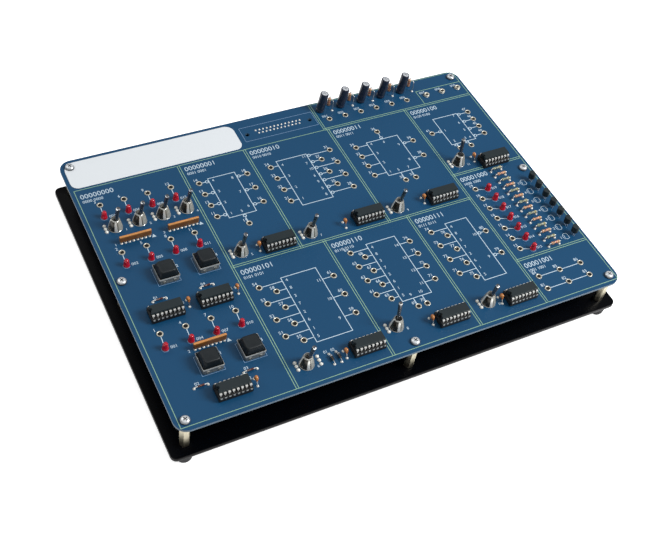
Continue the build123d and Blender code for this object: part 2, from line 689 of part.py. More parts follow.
with BuildPart() as connector_insulator:
    with BuildSketch(facing_back(flange_front)) as plug_sketch:
        Trapezoid(*shell_outline(SHELL_WALL + THREAD_CLEARANCE))
        chamfer(plug_sketch.vertices(), SHELL_CORNER - SHELL_WALL)
    extrude(amount=insulator_length)
    with BuildSketch(facing_back(flange_front + insulator_length)):
        for height, count in contact_rows:
            with Locations((0, height)):
                with GridLocations(CONTACT_PITCH, 0, count, 1):
                    Rectangle(CONTACT_HOLE, CONTACT_HOLE)
    extrude(amount=-CONTACT_DEPTH, mode=Mode.SUBTRACT)
finish(connector_insulator, "connector_insulator")

with BuildPart() as connector_body:
    with BuildSketch(facing_back(flange_front)):
        Rectangle(BODY_WIDTH, CONNECTOR_HEIGHT)
    extrude(amount=-BODY_LENGTH)
    with BuildSketch(facing_back(flange_front)):
        Rectangle(CONNECTOR_WIDTH, CONNECTOR_HEIGHT)
        with GridLocations(JACK_SPACING, 0, 2, 1):
            RegularPolygon(JACK_SHANK_RADIUS + THREAD_CLEARANCE, SMALL_SIDES, mode=Mode.SUBTRACT)
    extrude(amount=-EAR_LENGTH)
finish(connector_body, "connector_body")

jack_radius = JACK_ACROSS_FLATS / 2 / math.cos(math.pi / 6)

with BuildPart() as jackscrews:
    with BuildSketch(facing_back(flange_back)):
        with GridLocations(JACK_SPACING, 0, 2, 1):
            RegularPolygon(jack_radius, TINY_SIDES)
    extrude(amount=JACK_LENGTH)
    with BuildSketch(facing_back(flange_back)):
        with GridLocations(JACK_SPACING, 0, 2, 1):
            RegularPolygon(JACK_SHANK_RADIUS, SMALL_SIDES)
    extrude(amount=-JACK_SHANK_LENGTH)
    with BuildSketch(facing_back(flange_back + JACK_LENGTH)):
        with GridLocations(JACK_SPACING, 0, 2, 1):
            Circle(JACK_BORE_RADIUS)
    extrude(amount=-JACK_BORE_DEPTH, mode=Mode.SUBTRACT)
finish(jackscrews, "jackscrews")
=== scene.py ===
import math

import bmesh
import bpy
from mathutils import Matrix, Vector


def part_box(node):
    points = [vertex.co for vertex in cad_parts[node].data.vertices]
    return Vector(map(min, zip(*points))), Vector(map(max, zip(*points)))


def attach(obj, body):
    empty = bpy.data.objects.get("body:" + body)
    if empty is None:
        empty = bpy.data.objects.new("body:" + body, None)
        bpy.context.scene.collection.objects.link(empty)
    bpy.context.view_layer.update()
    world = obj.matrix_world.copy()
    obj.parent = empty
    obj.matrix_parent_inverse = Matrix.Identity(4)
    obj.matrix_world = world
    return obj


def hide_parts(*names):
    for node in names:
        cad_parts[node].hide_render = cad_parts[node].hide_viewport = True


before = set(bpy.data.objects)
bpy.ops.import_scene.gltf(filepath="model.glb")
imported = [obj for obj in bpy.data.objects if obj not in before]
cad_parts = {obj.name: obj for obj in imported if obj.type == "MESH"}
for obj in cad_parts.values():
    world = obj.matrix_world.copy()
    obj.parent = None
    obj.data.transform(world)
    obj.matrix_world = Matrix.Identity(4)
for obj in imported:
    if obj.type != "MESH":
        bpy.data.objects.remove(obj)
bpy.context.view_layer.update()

# ==== Circuit board ====
# One 1.6 mm sheet of glass laminate under a satin blue solder mask, bare at its cut edges.
# It is drilled for its screws, switches and connector, and everything else stands on it.
mm = 0.001
board_low, board_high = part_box("circuit_board")


def on_board(x, y, z=0):
    """Place in the frame of a point in millimetres from the board's front left corner and top."""
    return Vector((board_low.x + x * mm, board_low.y + y * mm, board_high.z + z * mm))


def colour(code):
    """Linear red, green, blue and alpha of a six-figure colour code."""
    parts = [int(code[i:i + 2], 16) / 255 for i in (0, 2, 4)]
    linear = [p / 12.92 if p <= 0.04045 else ((p + 0.055) / 1.055) ** 2.4 for p in parts]
    return (*linear, 1)


def feed(tree, node, feeds):
    """Fill inputs of a node, each from another node's output or with a plain value."""
    for key, value in feeds.items():
        if isinstance(value, bpy.types.NodeSocket):
            tree.links.new(value, node.inputs[key])
        else:
            node.inputs[key].default_value = value


def grow(tree, kind, feeds=None, **settings):
    """New node in a tree, with its own settings made and then its inputs fed."""
    node = tree.nodes.new(kind)
    for name, value in settings.items():
        setattr(node, name, value)
    feed(tree, node, feeds or {})
    return node


def new_group(name, kind, takes, gives):
    """Node group with typed sockets, the outputs of its input node, and its output node."""
    group = bpy.data.node_groups.new(name, kind)
    for way, sockets in (("INPUT", takes), ("OUTPUT", gives)):
        for label, sort in sockets.items():
            group.interface.new_socket(label, in_out=way, socket_type="NodeSocket" + sort)
    return group, group.nodes.new("NodeGroupInput").outputs, group.nodes.new("NodeGroupOutput")


def build_grain():
    """Shader group: broad mottling of a colour, and a fine grain in its gloss and its surface."""
    measures = ("Mottle", "Mottle Scale", "Roughness", "Grain Scale", "Grain Depth")
    takes = {"Colour": "Color", **dict.fromkeys(measures, "Float")}
    gives = {"Colour": "Color", "Roughness": "Float", "Normal": "Vector"}
    group, given, result = new_group("surface_grain", "ShaderNodeTree", takes, gives)
    place = grow(group, "ShaderNodeTexCoord").outputs["Object"]
    broad = grow(group, "ShaderNodeTexNoise", {
        "Vector": place, "Scale": given["Mottle Scale"], "Detail": 3})
    amount = grow(group, "ShaderNodeMath", {
        0: broad.outputs["Fac"], 1: given["Mottle"]}, operation="MULTIPLY")
    darker = grow(group, "ShaderNodeMix", {
        "Factor": amount.outputs[0], "A": given["Colour"], "B": (0, 0, 0, 1)}, data_type="RGBA")
    fine = grow(group, "ShaderNodeTexNoise", {
        "Vector": place, "Scale": given["Grain Scale"], "Detail": 2})
    gloss_spread = 0.12
    spread = grow(group, "ShaderNodeMath", {
        0: fine.outputs["Fac"], 1: gloss_spread, 2: given["Roughness"]}, operation="MULTIPLY_ADD")
    bump = grow(group, "ShaderNodeBump", {
        "Height": fine.outputs["Fac"], "Strength": given["Grain Depth"], "Distance": 0.1 * mm})
    feed(group, result, {"Colour": darker.outputs["Result"], "Roughness": spread.outputs[0],
                         "Normal": bump.outputs["Normal"]})
    return group


surface_grain = build_grain()


def grained(name, code, rough, metal=0, coat=0, specular=0.5, mottle=(0.2, 60),
            grain=(0.15, 2500), edge=None):
    """Material in one colour, its mottling and its grain each given as amount and scale.

    An edge colour goes on the upright faces, as where a coated sheet is cut through; on other parts
    it is painted shade where it is darker than the top, and a painted highlight where it is
    lighter.
    """
    material = bpy.data.materials.new(name)
    material.use_nodes = True
    tree = material.node_tree
    tint = colour(code)
    if edge:
        facing = grow(tree, "ShaderNodeNewGeometry").outputs["Normal"]
        split = grow(tree, "ShaderNodeSeparateXYZ", {0: facing})
        flat = grow(tree, "ShaderNodeMath", {0: split.outputs["Z"]}, operation="ABSOLUTE")
        tint = grow(tree, "ShaderNodeMix", {
            "Factor": flat.outputs[0], "A": colour(edge), "B": colour(code)},
            data_type="RGBA").outputs["Result"]
    texture = grow(tree, "ShaderNodeGroup", {
        "Colour": tint, "Mottle": mottle[0], "Mottle Scale": mottle[1], "Roughness": rough,
        "Grain Depth": grain[0], "Grain Scale": grain[1]}, node_tree=surface_grain, name="grain")
    feed(tree, tree.nodes["Principled BSDF"], {
        "Metallic": metal, "Coat Weight": coat, "Coat Roughness": 0.08,
        "Specular IOR Level": specular, "Base Color": texture.outputs["Colour"],
        "Roughness": texture.outputs["Roughness"], "Normal": texture.outputs["Normal"]})
    return material


def refinish(node, material):
    """Give a node of the frame one material."""
    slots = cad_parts[node].data.materials
    slots.clear()
    slots.append(material)


solder_mask = grained(
    "solder_mask", "0F456A", 0.32, specular=0.3, mottle=(0.14, 9), grain=(0.05, 900),
    edge="4C667A")
refinish("circuit_board", solder_mask)

# ==== Printed lines ====
# White and yellow-green ink, screened on the board. A thin skin of ink stands on the mask:
# double rules between the blocks, single pale lines for each block's diagram and part outlines.


def finish_tree(tree, placed, material, result):
    """End a geometry tree: its instances are made real and given their material."""
    real = grow(tree, "GeometryNodeRealizeInstances", {0: placed.outputs[0]})
    done = grow(tree, "GeometryNodeSetMaterial", {
        "Geometry": real.outputs[0], "Material": material})
    feed(tree, result, {0: done.outputs[0]})
    return tree


def build_rules():
    """Geometry tree: each edge of a flat wire drawing becomes a strip of ink of one width."""
    takes = {"Drawing": "Geometry", "Line Width": "Float", "Ink Thickness": "Float",
             "Ink": "Material"}
    tree, given, result = new_group("ruled_ink", "GeometryNodeTree", takes, {"Strips": "Geometry"})
    ends = grow(tree, "GeometryNodeInputMeshEdgeVertices").outputs
    along = grow(tree, "ShaderNodeVectorMath", {
        0: ends["Position 2"], 1: ends["Position 1"]}, operation="SUBTRACT")
    kept = grow(tree, "GeometryNodeCaptureAttribute", domain="EDGE")
    kept.capture_items.new("VECTOR", "Along")
    feed(tree, kept, {"Geometry": given["Drawing"], "Along": along.outputs[0]})
    points = grow(tree, "GeometryNodeMeshToPoints", {
        "Mesh": kept.outputs["Geometry"]}, mode="EDGES")
    length = grow(tree, "ShaderNodeVectorMath", {0: kept.outputs["Along"]}, operation="LENGTH")
    longer = grow(tree, "ShaderNodeMath", {
        0: length.outputs["Value"], 1: given["Line Width"]}, operation="ADD")
    size = grow(tree, "ShaderNodeCombineXYZ", {
        "X": longer.outputs[0], "Y": given["Line Width"], "Z": given["Ink Thickness"]})
    turn = grow(tree, "FunctionNodeAlignRotationToVector", {
        "Vector": kept.outputs["Along"]}, axis="X")
    strip = grow(tree, "GeometryNodeMeshCube")
    placed = grow(tree, "GeometryNodeInstanceOnPoints", {
        "Points": points.outputs[0], "Instance": strip.outputs["Mesh"],
        "Rotation": turn.outputs[0], "Scale": size.outputs[0]})
    return finish_tree(tree, placed, given["Ink"], result)


def shown(name, data):
    """Object at the origin of the scene that holds a mesh, a lamp or a camera."""
    item = bpy.data.objects.new(name, data)
    bpy.context.scene.collection.objects.link(item)
    return item


def worked_out(item):
    """Plain mesh of an object with its modifiers applied."""
    bpy.context.view_layer.update()
    made = item.evaluated_get(bpy.context.evaluated_depsgraph_get())
    return bpy.data.meshes.new_from_object(made)


def run_tree(name, mesh, tree, values):
    """A mesh run through a geometry tree with the named values, as a plain mesh object."""
    piece = shown(name, mesh)
    modifier = piece.modifiers.new(name, "NODES")
    modifier.node_group = tree
    for item in tree.interface.items_tree:
        if item.name in values:
            modifier[item.identifier] = values[item.name]
    piece.update_tag()
    finished = worked_out(piece)
    piece.modifiers.clear()
    piece.data = finished
    return piece


rules_tree = build_rules()
INK_THICKNESS = 0.04
INK_STEP = 0.004
INK_LEVELS = 5


def ruled(name, strokes, width, ink):
    """Ink strips along strokes, each a list of (x, y) in board millimetres.

    Neighbouring strips lie at slightly different levels, so that they don't share a surface.
    """
    drawing = bpy.data.meshes.new(name)
    points, edges = [], []
    for stroke in strokes:
        for start, stop in zip(stroke, stroke[1:]):
            level = INK_STEP * (len(edges) % INK_LEVELS)
            edges.append((len(points), len(points) + 1))
            points += [on_board(*start, level), on_board(*stop, level)]
    drawing.from_pydata(points, edges, [])
    values = {"Line Width": width * mm, "Ink Thickness": INK_THICKNESS * mm, "Ink": ink}
    piece = run_tree(name, drawing, rules_tree, values)
    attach(piece, "trainer_frame")


def outline(x, y, width, depth):
    """Closed rectangle about a middle, as one stroke."""
    left, right = x - width / 2, x + width / 2
    front, back = y - depth / 2, y + depth / 2
    return [(left, front), (right, front), (right, back), (left, back), (left, front)]


def arc(x, y, radius, start=0, stop=360, steps=12):
    """Part of a circle as one stroke, between two angles in degrees."""
    turns = [math.radians(start + (stop - start) * i / steps) for i in range(steps + 1)]
    return [(x + radius * math.cos(t), y + radius * math.sin(t)) for t in turns]


def solids_of(node):
    """Boxes (low, high) of the separate solids in a node of the frame, ordered from the left."""
    form = bmesh.new()
    form.from_mesh(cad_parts[node].data)
    bmesh.ops.remove_doubles(form, verts=form.verts, dist=1e-6)
    boxes, seen = [], set()
    for start in form.verts:
        if start in seen:
            continue
        seen.add(start)
        group, waiting = [], [start]
        while waiting:
            vertex = waiting.pop()
            group.append(vertex.co.copy())
            fresh = {edge.other_vert(vertex) for edge in vertex.link_edges} - seen
            seen |= fresh
            waiting += fresh
        boxes.append((Vector(map(min, *group)), Vector(map(max, *group))))
    form.free()
    return sorted(boxes, key=lambda box: (round(box[0].x, 5), box[0].y))


def places_of(node):
    """Middle of each solid of a node, in board millimetres."""
    middles = [(low + high) / 2 for low, high in solids_of(node)]
    return [((m.x - board_low.x) / mm, (m.y - board_low.y) / mm) for m in middles]


green_ink = grained("green_ink", "9AC3A0", 0.55, mottle=(0.3, 900))
board_size = (board_high - board_low) / mm
EDGE_RULE, BACK_EDGE_RULE, RIGHT_EDGE_RULE = 2.6, 0.9, 2
RULE_GAP, RULE_WIDTH = 1.5, 0.36
right_rule = board_size.x - RIGHT_EDGE_RULE
back_rule = board_size.y - BACK_EDGE_RULE
LEFT_COLUMN, RIGHT_COLUMN = 71.8, 243
MIDDLE_ROW, TOP_ROW = 96.5, 188.2
LABEL_RULE = 187.7
BLOCK_2_LEFT, BLOCK_3_LEFT, BLOCK_6_LEFT, BLOCK_7_LEFT = 118.5, 181.3, 133.8, 194.5
DISPLAY_BACK, CHANNELS_BACK = 118.7, 38.3
POWER_LEFT, SUPPLY_LEFT, SUPPLY_BACK = 179.5, 260.5, 202.7

# The double rules between the blocks, each from one place to another, and the single border.
rules = []
for x0, y0, x1, y1 in (
    (LEFT_COLUMN, EDGE_RULE, LEFT_COLUMN, LABEL_RULE),
    (LEFT_COLUMN, MIDDLE_ROW, RIGHT_COLUMN, MIDDLE_ROW),
    (BLOCK_2_LEFT, MIDDLE_ROW, BLOCK_2_LEFT, LABEL_RULE),
    (BLOCK_3_LEFT, MIDDLE_ROW, BLOCK_3_LEFT, TOP_ROW),
    (RIGHT_COLUMN, EDGE_RULE, RIGHT_COLUMN, TOP_ROW),
    (BLOCK_6_LEFT, EDGE_RULE, BLOCK_6_LEFT, MIDDLE_ROW),
    (BLOCK_7_LEFT, EDGE_RULE, BLOCK_7_LEFT, MIDDLE_ROW),
    (RIGHT_COLUMN, DISPLAY_BACK, right_rule, DISPLAY_BACK),
    (RIGHT_COLUMN, CHANNELS_BACK, right_rule, CHANNELS_BACK),
    (POWER_LEFT, TOP_ROW, right_rule, TOP_ROW),
    (POWER_LEFT, TOP_ROW, POWER_LEFT, back_rule),
):
    start, stop = Vector((x0, y0)), Vector((x1, y1))
    side = (stop - start).orthogonal().normalized() * RULE_GAP / 2
    rules += [[start - side, stop - side], [start + side, stop + side]]
rules.append([(EDGE_RULE, LABEL_RULE), (EDGE_RULE, EDGE_RULE), (right_rule, EDGE_RULE),
              (right_rule, back_rule), (POWER_LEFT, back_rule)])
rules.append([(EDGE_RULE, LABEL_RULE), (POWER_LEFT, LABEL_RULE)])
rules.append([(SUPPLY_LEFT, TOP_ROW + 1), (SUPPLY_LEFT, SUPPLY_BACK), (right_rule, SUPPLY_BACK)])
ruled("divider_rules", rules, RULE_WIDTH, green_ink)

# Each block's box is middle x, middle y, width, depth, and the sides marked with a small ring.
diagrams = {
    1: (94.95, 152.4, 18.7, 36.4, "left right below"),
    2: (145.35, 149.5, 22.1, 42, "right"),
    3: (212.95, 150.05, 24.3, 33.3, "above right"),
    4: (267.6, 158.95, 19.8, 27.3, "left right"),
    5: (107.45, 52.95, 23.5, 50.9, ""),
    6: (167.8, 60, 20.6, 48.6, ""),
    7: (222.95, 57.1, 16.3, 50.2, "right"),
}
SIDE_REACH, END_REACH = 19, 10
SOCKET_REACH = 2
RING, RING_OUT = 1, 1.45
PIN_NUMBER_IN, PIN_NUMBER_LEFT, PIN_NUMBER_FRONT, PIN_NUMBER_HEIGHT = 3, 0.9, 1, 2.2
SOCKET_NUMBER_LEFT, SOCKET_NUMBER_BEHIND, SOCKET_NUMBER_HEIGHT = 2.9, 2.5, 2.3
socket_places = places_of("test_sockets")
led_places = places_of("leds")
strokes, number_marks, lamp_rings = [], [], []


def mark(number, x, y, height):
    """Keep a number, its place and its height for printing."""
    number_marks.append((str(number), x, y, height))


def mark_socket(number, x, y):
    """Keep a number to print behind a socket, to its left."""
    mark(number, x - SOCKET_NUMBER_LEFT, y + SOCKET_NUMBER_BEHIND, SOCKET_NUMBER_HEIGHT)


for block, (x0, y0, width, depth, ringed) in diagrams.items():
    strokes.append(outline(x0, y0, width, depth))
    count = 0
    for x, y in socket_places:
        if abs(y - y0) < depth / 2 and width / 2 < abs(x - x0) < width / 2 + SIDE_REACH:
            way = Vector((math.copysign(1, x - x0), 0))
            start = Vector((x0 + way.x * width / 2, y))
            side = "right" if way.x > 0 else "left"
        elif abs(x - x0) < width / 2 and depth / 2 < abs(y - y0) < depth / 2 + END_REACH:
            way = Vector((0, math.copysign(1, y - y0)))
            start = Vector((x, y0 + way.y * depth / 2))
            side = "above" if way.y > 0 else "below"
        else:
            continue
        count += 1
        pin = start - way * PIN_NUMBER_IN
        mark(count, pin.x - PIN_NUMBER_LEFT, pin.y - PIN_NUMBER_FRONT, PIN_NUMBER_HEIGHT)
        mark_socket(10 * block + count, x, y)
        if side in ringed:
            strokes.append(arc(*(start + way * RING_OUT), RING))
            start += way * (RING_OUT + RING)
        strokes.append([start, Vector((x, y)) - way * SOCKET_REACH])

# A line from each lamp to its own socket, and from socket to socket along the channel rows.
# Painted highlight: a pale arc of ink on the board round the front left of each lamp's foot.
LAMP_REACH, LAMP_HIGHLIGHT_RADIUS, LAMP_HIGHLIGHT_START, LAMP_HIGHLIGHT_STOP = 2.3, 2.25, 160, 320
LAMP_NUMBER_RIGHT, LAMP_NUMBER_FRONT, LAMP_NUMBER_HEIGHT = 3, 1, 2.1
for number, (x, y) in enumerate(led_places, start=1):
    socket = min(socket_places, key=lambda place: math.dist(place, (x, y)))
    way = (Vector((x, y)) - Vector(socket)).normalized()
    strokes.append([Vector(socket) + way * SOCKET_REACH, Vector((x, y)) - way * LAMP_REACH])
    lamp_rings.append(arc(x, y, LAMP_HIGHLIGHT_RADIUS, LAMP_HIGHLIGHT_START, LAMP_HIGHLIGHT_STOP, 6))
    mark(f"{number:03d}", x + LAMP_NUMBER_RIGHT, y - LAMP_NUMBER_FRONT, LAMP_NUMBER_HEIGHT)
    mark_socket(number, *socket)
channels = sorted((y, x) for x, y in socket_places if x > RIGHT_COLUMN and y < CHANNELS_BACK)
for (y, x), (next_y, next_x) in zip(channels, channels[1:]):
    if next_y - y < 1:
        strokes.append([(x + SOCKET_REACH, y), (next_x - SOCKET_REACH, next_y)])
FIRST_CHANNEL = 81
for number, (y, x) in enumerate(channels, start=FIRST_CHANNEL):
    mark_socket(number, x, y)

# A small triangle at the right end of each resistor network, and to the left of each transistor
# its outline, round with one flat side and a short bar.
TRIANGLE_RIGHT = 11.4
for x, y in places_of("resistor_networks"):
    tip = x + TRIANGLE_RIGHT
    strokes.append([(tip - 1, y - 1.5), (tip + 1, y - 1.5), (tip, y + 0.3), (tip - 1, y - 1.5)])
    strokes.append([(tip - 0.5, y - 1.1), (tip + 0.5, y - 1.1), (tip, y - 0.4)])
OUTLINE_LEFT, OUTLINE_RADIUS = 5.4, 2.4
part_strokes = []
for x, y in places_of("transistors"):
    middle = x - OUTLINE_LEFT
    part_strokes.append(arc(middle, y, OUTLINE_RADIUS, 45, 315))
    part_strokes.append([(middle + 1.7, y - 1.7), (middle + 1.7, y + 1.7)])
    part_strokes.append([(middle - 1.2, y - 1.1), (middle - 1.2, y + 1.1)])

# Beside each kind of part stand its numbers: how many digits they have, how far to the right and
# behind they start, and their height.
for node, digits, right, behind, height in (
    ("button_housings", 1, 7.6, 3.4, 2.4),
    ("ic_sockets", 1, 11.4, 3, 2.2),
    ("resistor_networks", 1, -13.2, -1, 2),
    ("transistors", 1, -10, -1, 2),
    ("toggle_bushings", 1, 5.2, -4.4, 1.9),
    ("diodes", 2, -2.6, 5, 2),
    ("resistors", 2, -3, 1.6, 2.1),
):
    for number, (x, y) in enumerate(places_of(node), start=1):
        if node != "resistors" or x < LEFT_COLUMN:
            mark(f"{number:0{digits}d}", x + right, y + behind, height)
KEY_OUTLINE = 13.9
CONNECTOR_OUTLINE = (150.3, 200.85, 54.6, 13.3)
PART_LINE_WIDTH = 0.28
white_ink = grained("white_ink", "CADFEC", 0.55, mottle=(0.25, 900))
faint_ink = grained("faint_ink", "7D9CBE", 0.55, mottle=(0.25, 900))
# The lamp arcs are a painted highlight at each lamp's foot.
ruled("lamp_rings", lamp_rings, 0.3, faint_ink)
guides = [outline(x, y, KEY_OUTLINE, KEY_OUTLINE) for x, y in places_of("button_housings")]
ruled("part_guides", guides + [outline(*CONNECTOR_OUTLINE)], PART_LINE_WIDTH, faint_ink)
ruled("diagram_lines", strokes, 0.45, white_ink)
ruled("part_outlines", part_strokes, PART_LINE_WIDTH, white_ink)

# ==== Printed numbers ====
# The same white ink. Each block is headed by its number in binary, and small plain numbers mark
# the sockets and the parts.
HEADING_HEIGHT, UNDER_HEADING = 4, 3.7
headings = [(4.6, 179.6), (74.6, 181.4), (120.8, 181.4), (183.6, 181.4), (245.3, 181.4),
            (74.6, 88.6), (136.2, 88.6), (197, 88.6), (245.3, 111.2), (245.3, 30.8)]
for number, (x, y) in enumerate(headings):
    mark(f"{number:08b}", x, y, HEADING_HEIGHT)
    mark(f"{number:04b} {number:04b}", x + 0.2, y - UNDER_HEADING, 2.3)
power_places = [place for place in socket_places if place[1] > TOP_ROW]
for number, (x, y) in enumerate(power_places + places_of("supply_sockets"), start=1):
    mark(f"{number:03d}", x - 4, y + 2.6, 2.2)

GLYPH_THICKNESS = 0.06
SIZE_TO_HEIGHT = 1.35
HEADING_SWELL, NUMBER_SWELL = 0.004, 0.01
glyph_form = bmesh.new()
for text, x, y, height in number_marks:
    curve = bpy.data.curves.new("printed_numbers", "FONT")
    curve.body = text
    curve.size = height * mm * SIZE_TO_HEIGHT
    curve.extrude = GLYPH_THICKNESS * mm / 2
    swell = HEADING_SWELL if height >= HEADING_HEIGHT else NUMBER_SWELL
    curve.offset = height * mm * swell
    curve.resolution_u = 3
    glyphs = bpy.data.objects.new("printed_numbers", curve)
    flat = bpy.data.meshes.new_from_object(glyphs)
    flat.transform(Matrix.Translation(on_board(x, y, GLYPH_THICKNESS / 2 - INK_STEP)))
    glyph_form.from_mesh(flat)
    bpy.data.objects.remove(glyphs)
glyph_mesh = bpy.data.meshes.new("printed_numbers")
glyph_form.to_mesh(glyph_mesh)
glyph_mesh.materials.append(grained("bright_ink", "BCD0DE", 0.55, mottle=(0.15, 900)))
numbers = shown("printed_numbers", glyph_mesh)
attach(numbers, "trainer_frame")

# ==== Title label ====
# A thin sheet of white laminated card stuck in the back left corner, with rounded corners.
# It is left bare.
LABEL_THICKNESS = 0.25
LABEL_BOX = (2.4, 189.2, 119.4, 212.6)
LABEL_CORNERS = (5, 5, 6, 7.5)


def stacked(*levels):
    """Closed form through level outlines, each given as its points and its height."""
    form = bmesh.new()
    rings = [[form.verts.new((x, y, height)) for x, y in points] for points, height in levels]
    for lower, upper in zip(rings, rings[1:]):
        for i, vertex in enumerate(lower):
            j = (i + 1) % len(lower)
            form.faces.new([vertex, lower[j], upper[j], upper[i]])
    form.faces.new(rings[-1])
    form.faces.new(rings[0][::-1])
    form.normal_update()
    return form


def rounded_outline(x0, y0, x1, y1, corners, steps=6):
    """Rectangle whose corners, from front left round to back left, have the given radii."""
    points = []
    turns = [(x0, y0, 1, 1, 180), (x1, y0, -1, 1, 270), (x1, y1, -1, -1, 0), (x0, y1, 1, -1, 90)]
    for (x, y, in_x, in_y, start), radius in zip(turns, corners):
        points += arc(x + in_x * radius, y + in_y * radius, radius, start, start + 90, steps)
    return points


def rounded_square(reach, corner, steps):
    """Square about the middle, with rounded corners."""
    return rounded_outline(-reach, -reach, reach, reach, (corner,) * 4, steps)


def soften(form, width, segments=2):
    """Bevel every edge of a form that turns by more than thirty degrees."""
    sharp = [edge for edge in form.edges
             if len(edge.link_faces) == 2 and edge.calc_face_angle() > math.radians(30)]
    bmesh.ops.bevel(form, geom=sharp, offset=width, segments=segments, profile=0.6,
                    affect="EDGES", clamp_overlap=True)
    return form


def mesh_of(form, name, smooth=35):
    """Mesh of a form, still in millimetres, smooth where its faces meet within an angle."""
    mesh = bpy.data.meshes.new(name)
    form.to_mesh(mesh)
    form.free()
    mesh.shade_smooth()
    mesh.set_sharp_from_angle(angle=math.radians(smooth))
    return mesh


def set_down(name, form, place, material, body="trainer_frame", smooth=35):
    """One piece, its form in millimetres set at a place in the frame, riding on a body."""
    mesh = mesh_of(form, name, smooth)
    mesh.transform(Matrix.Translation(place) @ Matrix.Scale(mm, 4))
    mesh.materials.append(material)
    piece = shown(name, mesh)
    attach(piece, body)
    return piece


label_outline = rounded_outline(*LABEL_BOX, LABEL_CORNERS)
label_form = soften(stacked((label_outline, 0), (label_outline, LABEL_THICKNESS)), 0.08, 1)
label_card = grained("label_card", "DDE2E6", 0.35, mottle=(0.04, 30), grain=(0.04, 2500))
set_down("title_label", label_form, on_board(0, 0), label_card)

# ==== Base plate ====
# A sheet of 3 mm black cast acrylic, saw-cut, with its edges flamed and faintly rounded.
# Seven countersunk screws come up through it into the standoffs.
BASE_CORNER, BASE_EDGE = 4, 0.35
base_low, base_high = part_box("base_plate")
base_size = (base_high - base_low) / mm
# Painted highlight: the upright edges of the sheet take a lighter grey than its black top.
black_acrylic_painted_highlight = grained(
    "black_acrylic_painted_highlight", "020306", 0.22, specular=0.06, mottle=(0.3, 25), grain=(0.03, 1500),
    edge="191718")
base_outline = rounded_outline(0, 0, base_size.x, base_size.y, (BASE_CORNER,) * 4)
base_form = soften(stacked((base_outline, 0), (base_outline, base_size.z)), BASE_EDGE)
base_sheet = set_down("base_sheet", base_form, base_low, black_acrylic_painted_highlight)
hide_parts("base_plate")

# ==== Rubber feet ====
# Round self-adhesive bumpers of soft black rubber, tapered, rounded at the rim and hollowed
# underneath.


def turned(profile, sides):
    """Form of revolution from (radius, height) points, closed where the radius is nothing.

    Each of its own points keeps how far along and how far round the form it lies.
    """
    form = bmesh.new()
    along = form.verts.layers.float.new("along")
    around = form.verts.layers.float.new("around")
    heights = [height for _, height in profile]
    rings = []
    for radius, height in profile:
        ring = []
        for i in range(sides if radius else 1):
            turn = 2 * math.pi * i / sides
            vertex = form.verts.new((radius * math.cos(turn), radius * math.sin(turn), height))
            vertex[along] = (height - min(heights)) / (max(heights) - min(heights))
            vertex[around] = math.cos(turn)
            ring.append(vertex)
        rings.append(ring)
    for lower, upper in zip(rings, rings[1:]):
        for i in range(sides):
            j = (i + 1) % sides
            corners = dict.fromkeys([lower[i % len(lower)], lower[j % len(lower)],
                                     upper[j % len(upper)], upper[i % len(upper)]])
            if len(corners) > 2:
                form.faces.new(list(corners))
    bmesh.ops.remove_doubles(form, verts=form.verts, dist=1e-4)
    return form


def build_set_out():
    """Geometry tree: one part set at every place, turned and sized alike, in one material."""
    takes = {"Places": "Geometry", "Part": "Object", "Turn": "Float", "Size": "Float",
             "Finish": "Material"}
    tree, given, result = new_group(
        "set_out_on_board", "GeometryNodeTree", takes, {"Parts": "Geometry"})
    part = grow(tree, "GeometryNodeObjectInfo", {"Object": given["Part"], "As Instance": True})
    turn = grow(tree, "ShaderNodeCombineXYZ", {"Z": given["Turn"]})
    rotation = grow(tree, "FunctionNodeEulerToRotation", {0: turn.outputs[0]})
    placed = grow(tree, "GeometryNodeInstanceOnPoints", {
        "Points": given["Places"], "Instance": part.outputs["Geometry"],
        "Rotation": rotation.outputs[0], "Scale": given["Size"]})
    return finish_tree(tree, placed, given["Finish"], result)


set_out_tree = build_set_out()


def set_out(name, form, places, material, turn=0, smooth=35):
    """The same form at every place in the frame, as one plain mesh that rides on the board."""
    part = shown(name + "_part", mesh_of(form, name + "_part", smooth))
    spots = bpy.data.meshes.new(name)
    spots.from_pydata(places, [], [])
    values = {"Part": part, "Turn": math.radians(turn), "Size": mm, "Finish": material}
    piece = run_tree(name, spots, set_out_tree, values)
    bpy.data.objects.remove(part)
    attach(piece, "trainer_frame")
    return piece


def feet_of(node):
    """Middle of the lowest face of each solid of a node, in the frame."""
    return [Vector(((low.x + high.x) / 2, (low.y + high.y) / 2, low.z))
            for low, high in solids_of(node)]


black_rubber = grained("black_rubber", "17171A", 0.75, mottle=(0.35, 200), grain=(0.5, 1800))
foot_profile = [(0, 1.2), (2.2, 1), (2.8, 0), (4.1, 0), (4.6, 0.25), (4.85, 0.8), (5.35, 5.6),
                (5.5, 6.4), (5.4, 7), (0, 7)]
feet = set_out("rubber_bumpers", turned(foot_profile, 28), feet_of("rubber_feet"), black_rubber)
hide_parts("rubber_feet")

# ==== Standoffs ====
# Hexagonal pillars of nickel-plated brass, 22 mm long, chamfered at both ends and tapped
# through. They carry the board clear of the base.
warm_nickel = grained(
    "warm_nickel", "CFC7AE", 0.24, metal=1, mottle=(0.25, 300), grain=(0.1, 3000))
pillar_profile = [(0, 0), (2.75, 0), (3.17, 0.35), (3.17, 21.65), (2.75, 22), (1.6, 22),
                  (1.5, 21.7), (1.5, 16), (0, 16)]
pillars = set_out(
    "hexagonal_pillars", turned(pillar_profile, 6), feet_of("standoffs"), warm_nickel,
    smooth=20)
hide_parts("standoffs")

# ==== Screws ====
# Zinc-plated M3 screws with a cross recess: pan heads on the board, and countersunk heads flush
# in the underside of the base plate.
SLOT_LENGTH, SLOT_WIDTH, SLOT_TAPER = 3.2, 0.62, 0.55


def rolled(form, degrees, axis):
    """Turn a form about one of its own axes."""
    bmesh.ops.rotate(form, verts=form.verts, cent=(0, 0, 0),
                     matrix=Matrix.Rotation(math.radians(degrees), 3, axis))
    return form


